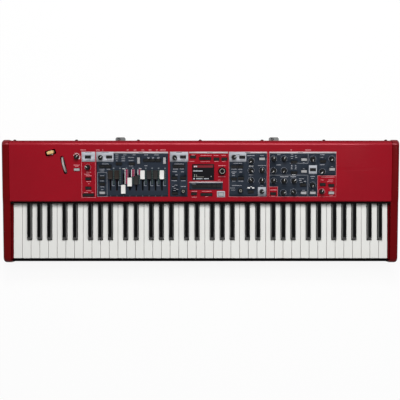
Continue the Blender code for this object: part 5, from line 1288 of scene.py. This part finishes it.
# Bars across the radius, one at the middle of each step of the angle and a little longer than the step's arc
def arcBars(places, radius, width, first, last, steps):
    angles = np.radians(np.linspace(first, last, 2 * steps + 1)[1::2])
    x, v = np.array(places).T
    x = (x[:, None] + radius * np.sin(angles)).ravel()
    v = (v[:, None] + radius * np.cos(angles)).ravel()
    length = radius * math.radians(last - first) / steps * 1.02
    return laidOnPanel(bars(x, v, length, width, np.tile(-angles, len(places)), ink["low"], ink["text"]))


# Bars from a near to a far radius, each along its own angle
def tickBars(place, near, far, width, degrees):
    angles = np.radians(degrees)
    middle = (near + far) / 2
    x, v = place[0] + middle * np.sin(angles), place[1] + middle * np.cos(angles)
    return laidOnPanel(bars(x, v, far - near, width, math.pi / 2 - angles, ink["low"], ink["text"]))


def makeTicks():
    master = turningKnobs["master_level_knob"]
    others = [place for place in [*turningKnobs.values(), *boardKnobs]
              if place is not master and not (abs(encoders - place).max(1) < 0.001).any()]
    radius, reach = scale["radius"], scale["reach"]
    arcs = arcBars(others, radius, scale["width"], -reach, reach, scale["steps"])
    broad = arcBars([master], radius, scale["masterWidth"], scale["masterFirst"], reach, scale["masterSteps"])
    ticks = tickBars(master, scale["tickNear"], scale["tickFar"], scale["tickWidth"], scale["ticks"])
    addPiece("knob_scales", [(arcs, greyInk), (joined([broad, ticks]), whiteInk)])
    print("scales made")


makeTicks()


# A surface made about the z axis, turned so that its axis runs out of the rear (+Y) at (x, z), from depth y
def onRear(surface, x, y, z):
    points = surface[0]
    return np.column_stack([x - points[:, 0], y + points[:, 2], z + points[:, 1]]), surface[1], surface[2]


def makeRear():
    rear = {"face": 0.156485, "height": 0.038, "firstJack": -0.300, "jackPitch": 0.045, "jacks": 6,
            "roundSockets": (-0.015, 0.030), "pinCircle": 0.0042, "pinDepth": 0.1408, "bladeDepth": 0.1407,
            "screws": 7, "screwPitch": 0.1668, "screwShift": -0.0007, "screwZ": 0.0915}
    dress("rear_sockets", [socketPlastic], 0.0002)
    face, height, circle = rear["face"], rear["height"], rear["pinCircle"]
    jackNut, roundNut = ringBand(0.0070, 0.0083, 0, 0.0016), ringBand(0.0104, 0.0116, 0, 0.0008)
    nuts = [onRear(jackNut, rear["firstJack"] + rear["jackPitch"] * i, face, height) for i in range(rear["jacks"])]
    nuts += [onRear(roundNut, x, face, height) for x in rear["roundSockets"]]
    pin = turnedStack([(0.0007, 0), (0.0007, 0.009), (0.0004, 0.0096)], 10)
    contacts = [onRear(pin, x + circle * math.cos(turn), rear["pinDepth"], height - circle * math.sin(turn) + 0.001)
                for x in rear["roundSockets"] for turn in np.radians([0, 45, 90, 135, 180])]
    inlet = np.mean(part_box("power_inlet"), 0)
    blade = rectStack(0.002, 0.004, 0.0003, [(0, 0), (0, 0.0125), (0.0004, 0.013)], 2)
    contacts += [onRear(blade, inlet[0] + dx, rear["bladeDepth"], inlet[2] + dz)
                 for dx, dz in ((-0.007, -0.001), (0, 0.002), (0.007, -0.001))]
    tongue = bars(0.075, 0.150, 0.0050, 0.0130, 0, 0.0370, 0.0390)
    addPiece("socket_nuts", [(joined(nuts), nickel)], smooth=40)
    addPiece("socket_contacts", [(joined(contacts), nickel), (tongue, creamPlastic)], smooth=40)

    # pan-head screws through the panel's skirt, each a domed head with a cross cut shown as two dark bars
    head = turnedStack([(0.0038, 0), (0.0040, 0.0005), (0.0039, 0.0013), (0.0034, 0.0020), (0.0025, 0.0025),
                        (0.0014, 0.0027)], 32)
    cross = joined([bars(0, 0, 0.0038, 0.0008, turn, 0.0021, 0.00285) for turn in (0.4, 0.4 + math.pi / 2)])
    xs = (np.arange(rear["screws"]) - (rear["screws"] - 1) / 2) * rear["screwPitch"] + rear["screwShift"]
    heads, cuts = (joined([onRear(shape, x, rearFace, rear["screwZ"]) for x in xs]) for shape in (head, cross))
    addPiece("rear_screws", [(heads, slipPlastic), (cuts, blackSteel)], smooth=40)

    # rubber bushes in the brackets' holes, whose black also stands in as painted shade for the dark seen through the
    # holes
    bush = {"inner": 0.0010, "outer": 0.00295, "flange": 0.0038, "flangeThick": 0.0007, "aside": -0.0043,
            "sheet": 0.0025, "reach": 0.0098}
    sheet = bush["sheet"]
    ring = joined([ringBand(bush["inner"], bush["outer"], 0, sheet + 0.0001, 32),
                   ringBand(bush["inner"], bush["flange"], sheet + 0.00005, sheet + bush["flangeThick"], 32)])
    for name in ("left", "right"):
        low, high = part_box(f"{name}_stand_bracket")
        place = [(low[0] + high[0]) / 2 + bush["aside"], high[1] - bush["reach"] / 2, high[2] - sheet]
        addPiece(f"{name}_bracket_bush", [(copies(ring, [place]), feltBlackPaintedShade)], smooth=40)
    print("rear made")


makeRear()


def makeUnderside():
    for name in ("front_left_foot", "front_right_foot", "rear_left_foot", "rear_right_foot"):
        low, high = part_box(name)
        x, y, _ = np.add(low, high) / 2
        radius, top = (high[0] - low[0]) / 2, high[2]
        rows = [(0.0035, 0.0020), (0.0042, 0.0000), (radius - 0.0015, 0), (radius - 0.0005, 0.0004), (radius, 0.0015),
                (radius - 0.0006, top - 0.0006), (radius - 0.0010, top)]
        foot = copies(turnedStack(rows, 48), [(x, y, 0)])
        addPiece(f"{name}_dressed", [(foot, rubber)], replaces=(name,), smooth=40)
    # tray screws, heads down, and a sunk label plate left blank
    tray = {"across": 7, "halfSpan": 0.48, "rows": (-0.145, 0.02, 0.145), "plate": (0.12, 0.06), "corner": 0.003,
            "platePlace": (0.1, -0.05, 0)}
    head = turnedStack([(0.0010, 0.0062), (0.0024, 0.0064), (0.0032, 0.0070), (0.0034, 0.0078), (0.0034, 0.0082)], 24)
    xs = np.linspace(-tray["halfSpan"], tray["halfSpan"], tray["across"])
    grid = np.stack(np.meshgrid(xs, tray["rows"]), -1).reshape(-1, 2)
    screws = copies(head, np.column_stack([grid, np.zeros(len(grid))]))
    plate = rectStack(*tray["plate"], tray["corner"], [(0.0003, 0.0076), (0, 0.0078), (0, 0.0081)])
    plate = copies(plate, [tray["platePlace"]])
    addPiece("tray_screws", [(screws, screwSteel), (plate, aluminium)], smooth=40)
    print("underside made")


makeUnderside()


# Studio: a pale floor, a wide strip light that surfaces mirror, a smaller one behind for the shadows and a weak even
# sky; the picture's ground is white
studio = {"floor": 0.93, "floorGlow": 1.0, "floorShare": 0.92, "sky": 0.15, "key": 34, "keyPlace": (0.30, 0.85, 2.38),
          "keyTarget": (0, 0, 0.09), "keySize": (2.4, 0.75), "fill": 2, "fillPlace": (0.0, -1.6, 2.2),
          "fillSize": (3.0, 1.5), "back": 34, "backPlace": (0.0, 1.65, 2.10), "backSize": (0.8, 0.6), "floorHalf": 3.0}


# 1 where the ray comes from the camera, from a glossy or from a clear surface, else 0
def seenDirectly(tree):
    path = addNode(tree, "ShaderNodeLightPath")
    total = path.outputs["Is Camera Ray"]
    for name in ("Is Glossy Ray", "Is Transmission Ray"):
        inputs = {0: total, 1: path.outputs[name]}
        total = addNode(tree, "ShaderNodeMath", inputs, operation="MAXIMUM").outputs[0]
    return total


def addArea(name, place, target, size, power):
    data = bpy.data.lights.new(name, "AREA")
    data.shape = "RECTANGLE"
    data.size, data.size_y = size
    data.energy = power
    light = bpy.data.objects.new(name, data)
    light.location = place
    aim = mathutils.Vector(target) - mathutils.Vector(place)
    light.rotation_euler = aim.to_track_quat("-Z", "Y").to_euler()
    bpy.context.scene.collection.objects.link(light)
    return light


def makeStudio():
    world = bpy.data.worlds.new("sky")
    bpy.context.scene.world = world
    world.use_nodes = True
    tree = world.node_tree
    tree.nodes.clear()
    even = addNode(tree, "ShaderNodeBackground", {"Color": (1, 1, 1, 1), "Strength": studio["sky"]})
    white = addNode(tree, "ShaderNodeBackground", {"Color": (1, 1, 1, 1), "Strength": 1.0})
    mix = addNode(tree, "ShaderNodeMixShader", {0: seenDirectly(tree), 1: even.outputs[0], 2: white.outputs[0]})
    addNode(tree, "ShaderNodeOutputWorld", {"Surface": mix.outputs[0]})

    half = studio["floorHalf"]
    corners = [(-half, -half, 0), (half, -half, 0), (half, half, 0), (-half, half, 0)]
    mesh = bpy.data.meshes.new("floor")
    mesh.from_pydata(corners, [], [(0, 1, 2, 3)])
    floor = bpy.data.objects.new("floor", mesh)
    bpy.context.scene.collection.objects.link(floor)
    material = bpy.data.materials.new("floor_white")
    material.use_nodes = True
    tree = material.node_tree
    tree.nodes.clear()
    dull = addNode(tree, "ShaderNodeBsdfDiffuse", {"Color": (studio["floor"],) * 3 + (1,)})
    glow = addNode(tree, "ShaderNodeEmission", {"Color": (1, 1, 1, 1), "Strength": studio["floorGlow"]})
    shade = addNode(tree, "ShaderNodeMixShader", {0: studio["floorShare"], 1: dull.outputs[0], 2: glow.outputs[0]})
    mix = addNode(tree, "ShaderNodeMixShader", {0: seenDirectly(tree), 1: dull.outputs[0], 2: shade.outputs[0]})
    addNode(tree, "ShaderNodeOutputMaterial", {"Surface": mix.outputs[0]})
    mesh.materials.append(material)
    addArea("key_light", studio["keyPlace"], studio["keyTarget"], studio["keySize"], studio["key"])
    back = addArea("back_light", studio["backPlace"], studio["keyTarget"], studio["backSize"], studio["back"])
    back.visible_glossy = False
    addArea("fill_light", studio["fillPlace"], studio["keyTarget"], studio["fillSize"], studio["fill"])

    view = {"place": (-0.00136, -0.0014, 2.28), "lens": 72.98, "sensor": 36}
    data = bpy.data.cameras.new("camera")
    data.lens, data.sensor_width = view["lens"], view["sensor"]
    data.clip_start, data.clip_end = 0.05, 50
    camera = bpy.data.objects.new("camera", data)
    camera.location = view["place"]
    bpy.context.scene.collection.objects.link(camera)
    bpy.context.scene.camera = camera
    bpy.context.scene.view_settings.view_transform = "Standard"
    print("studio made")


makeStudio()
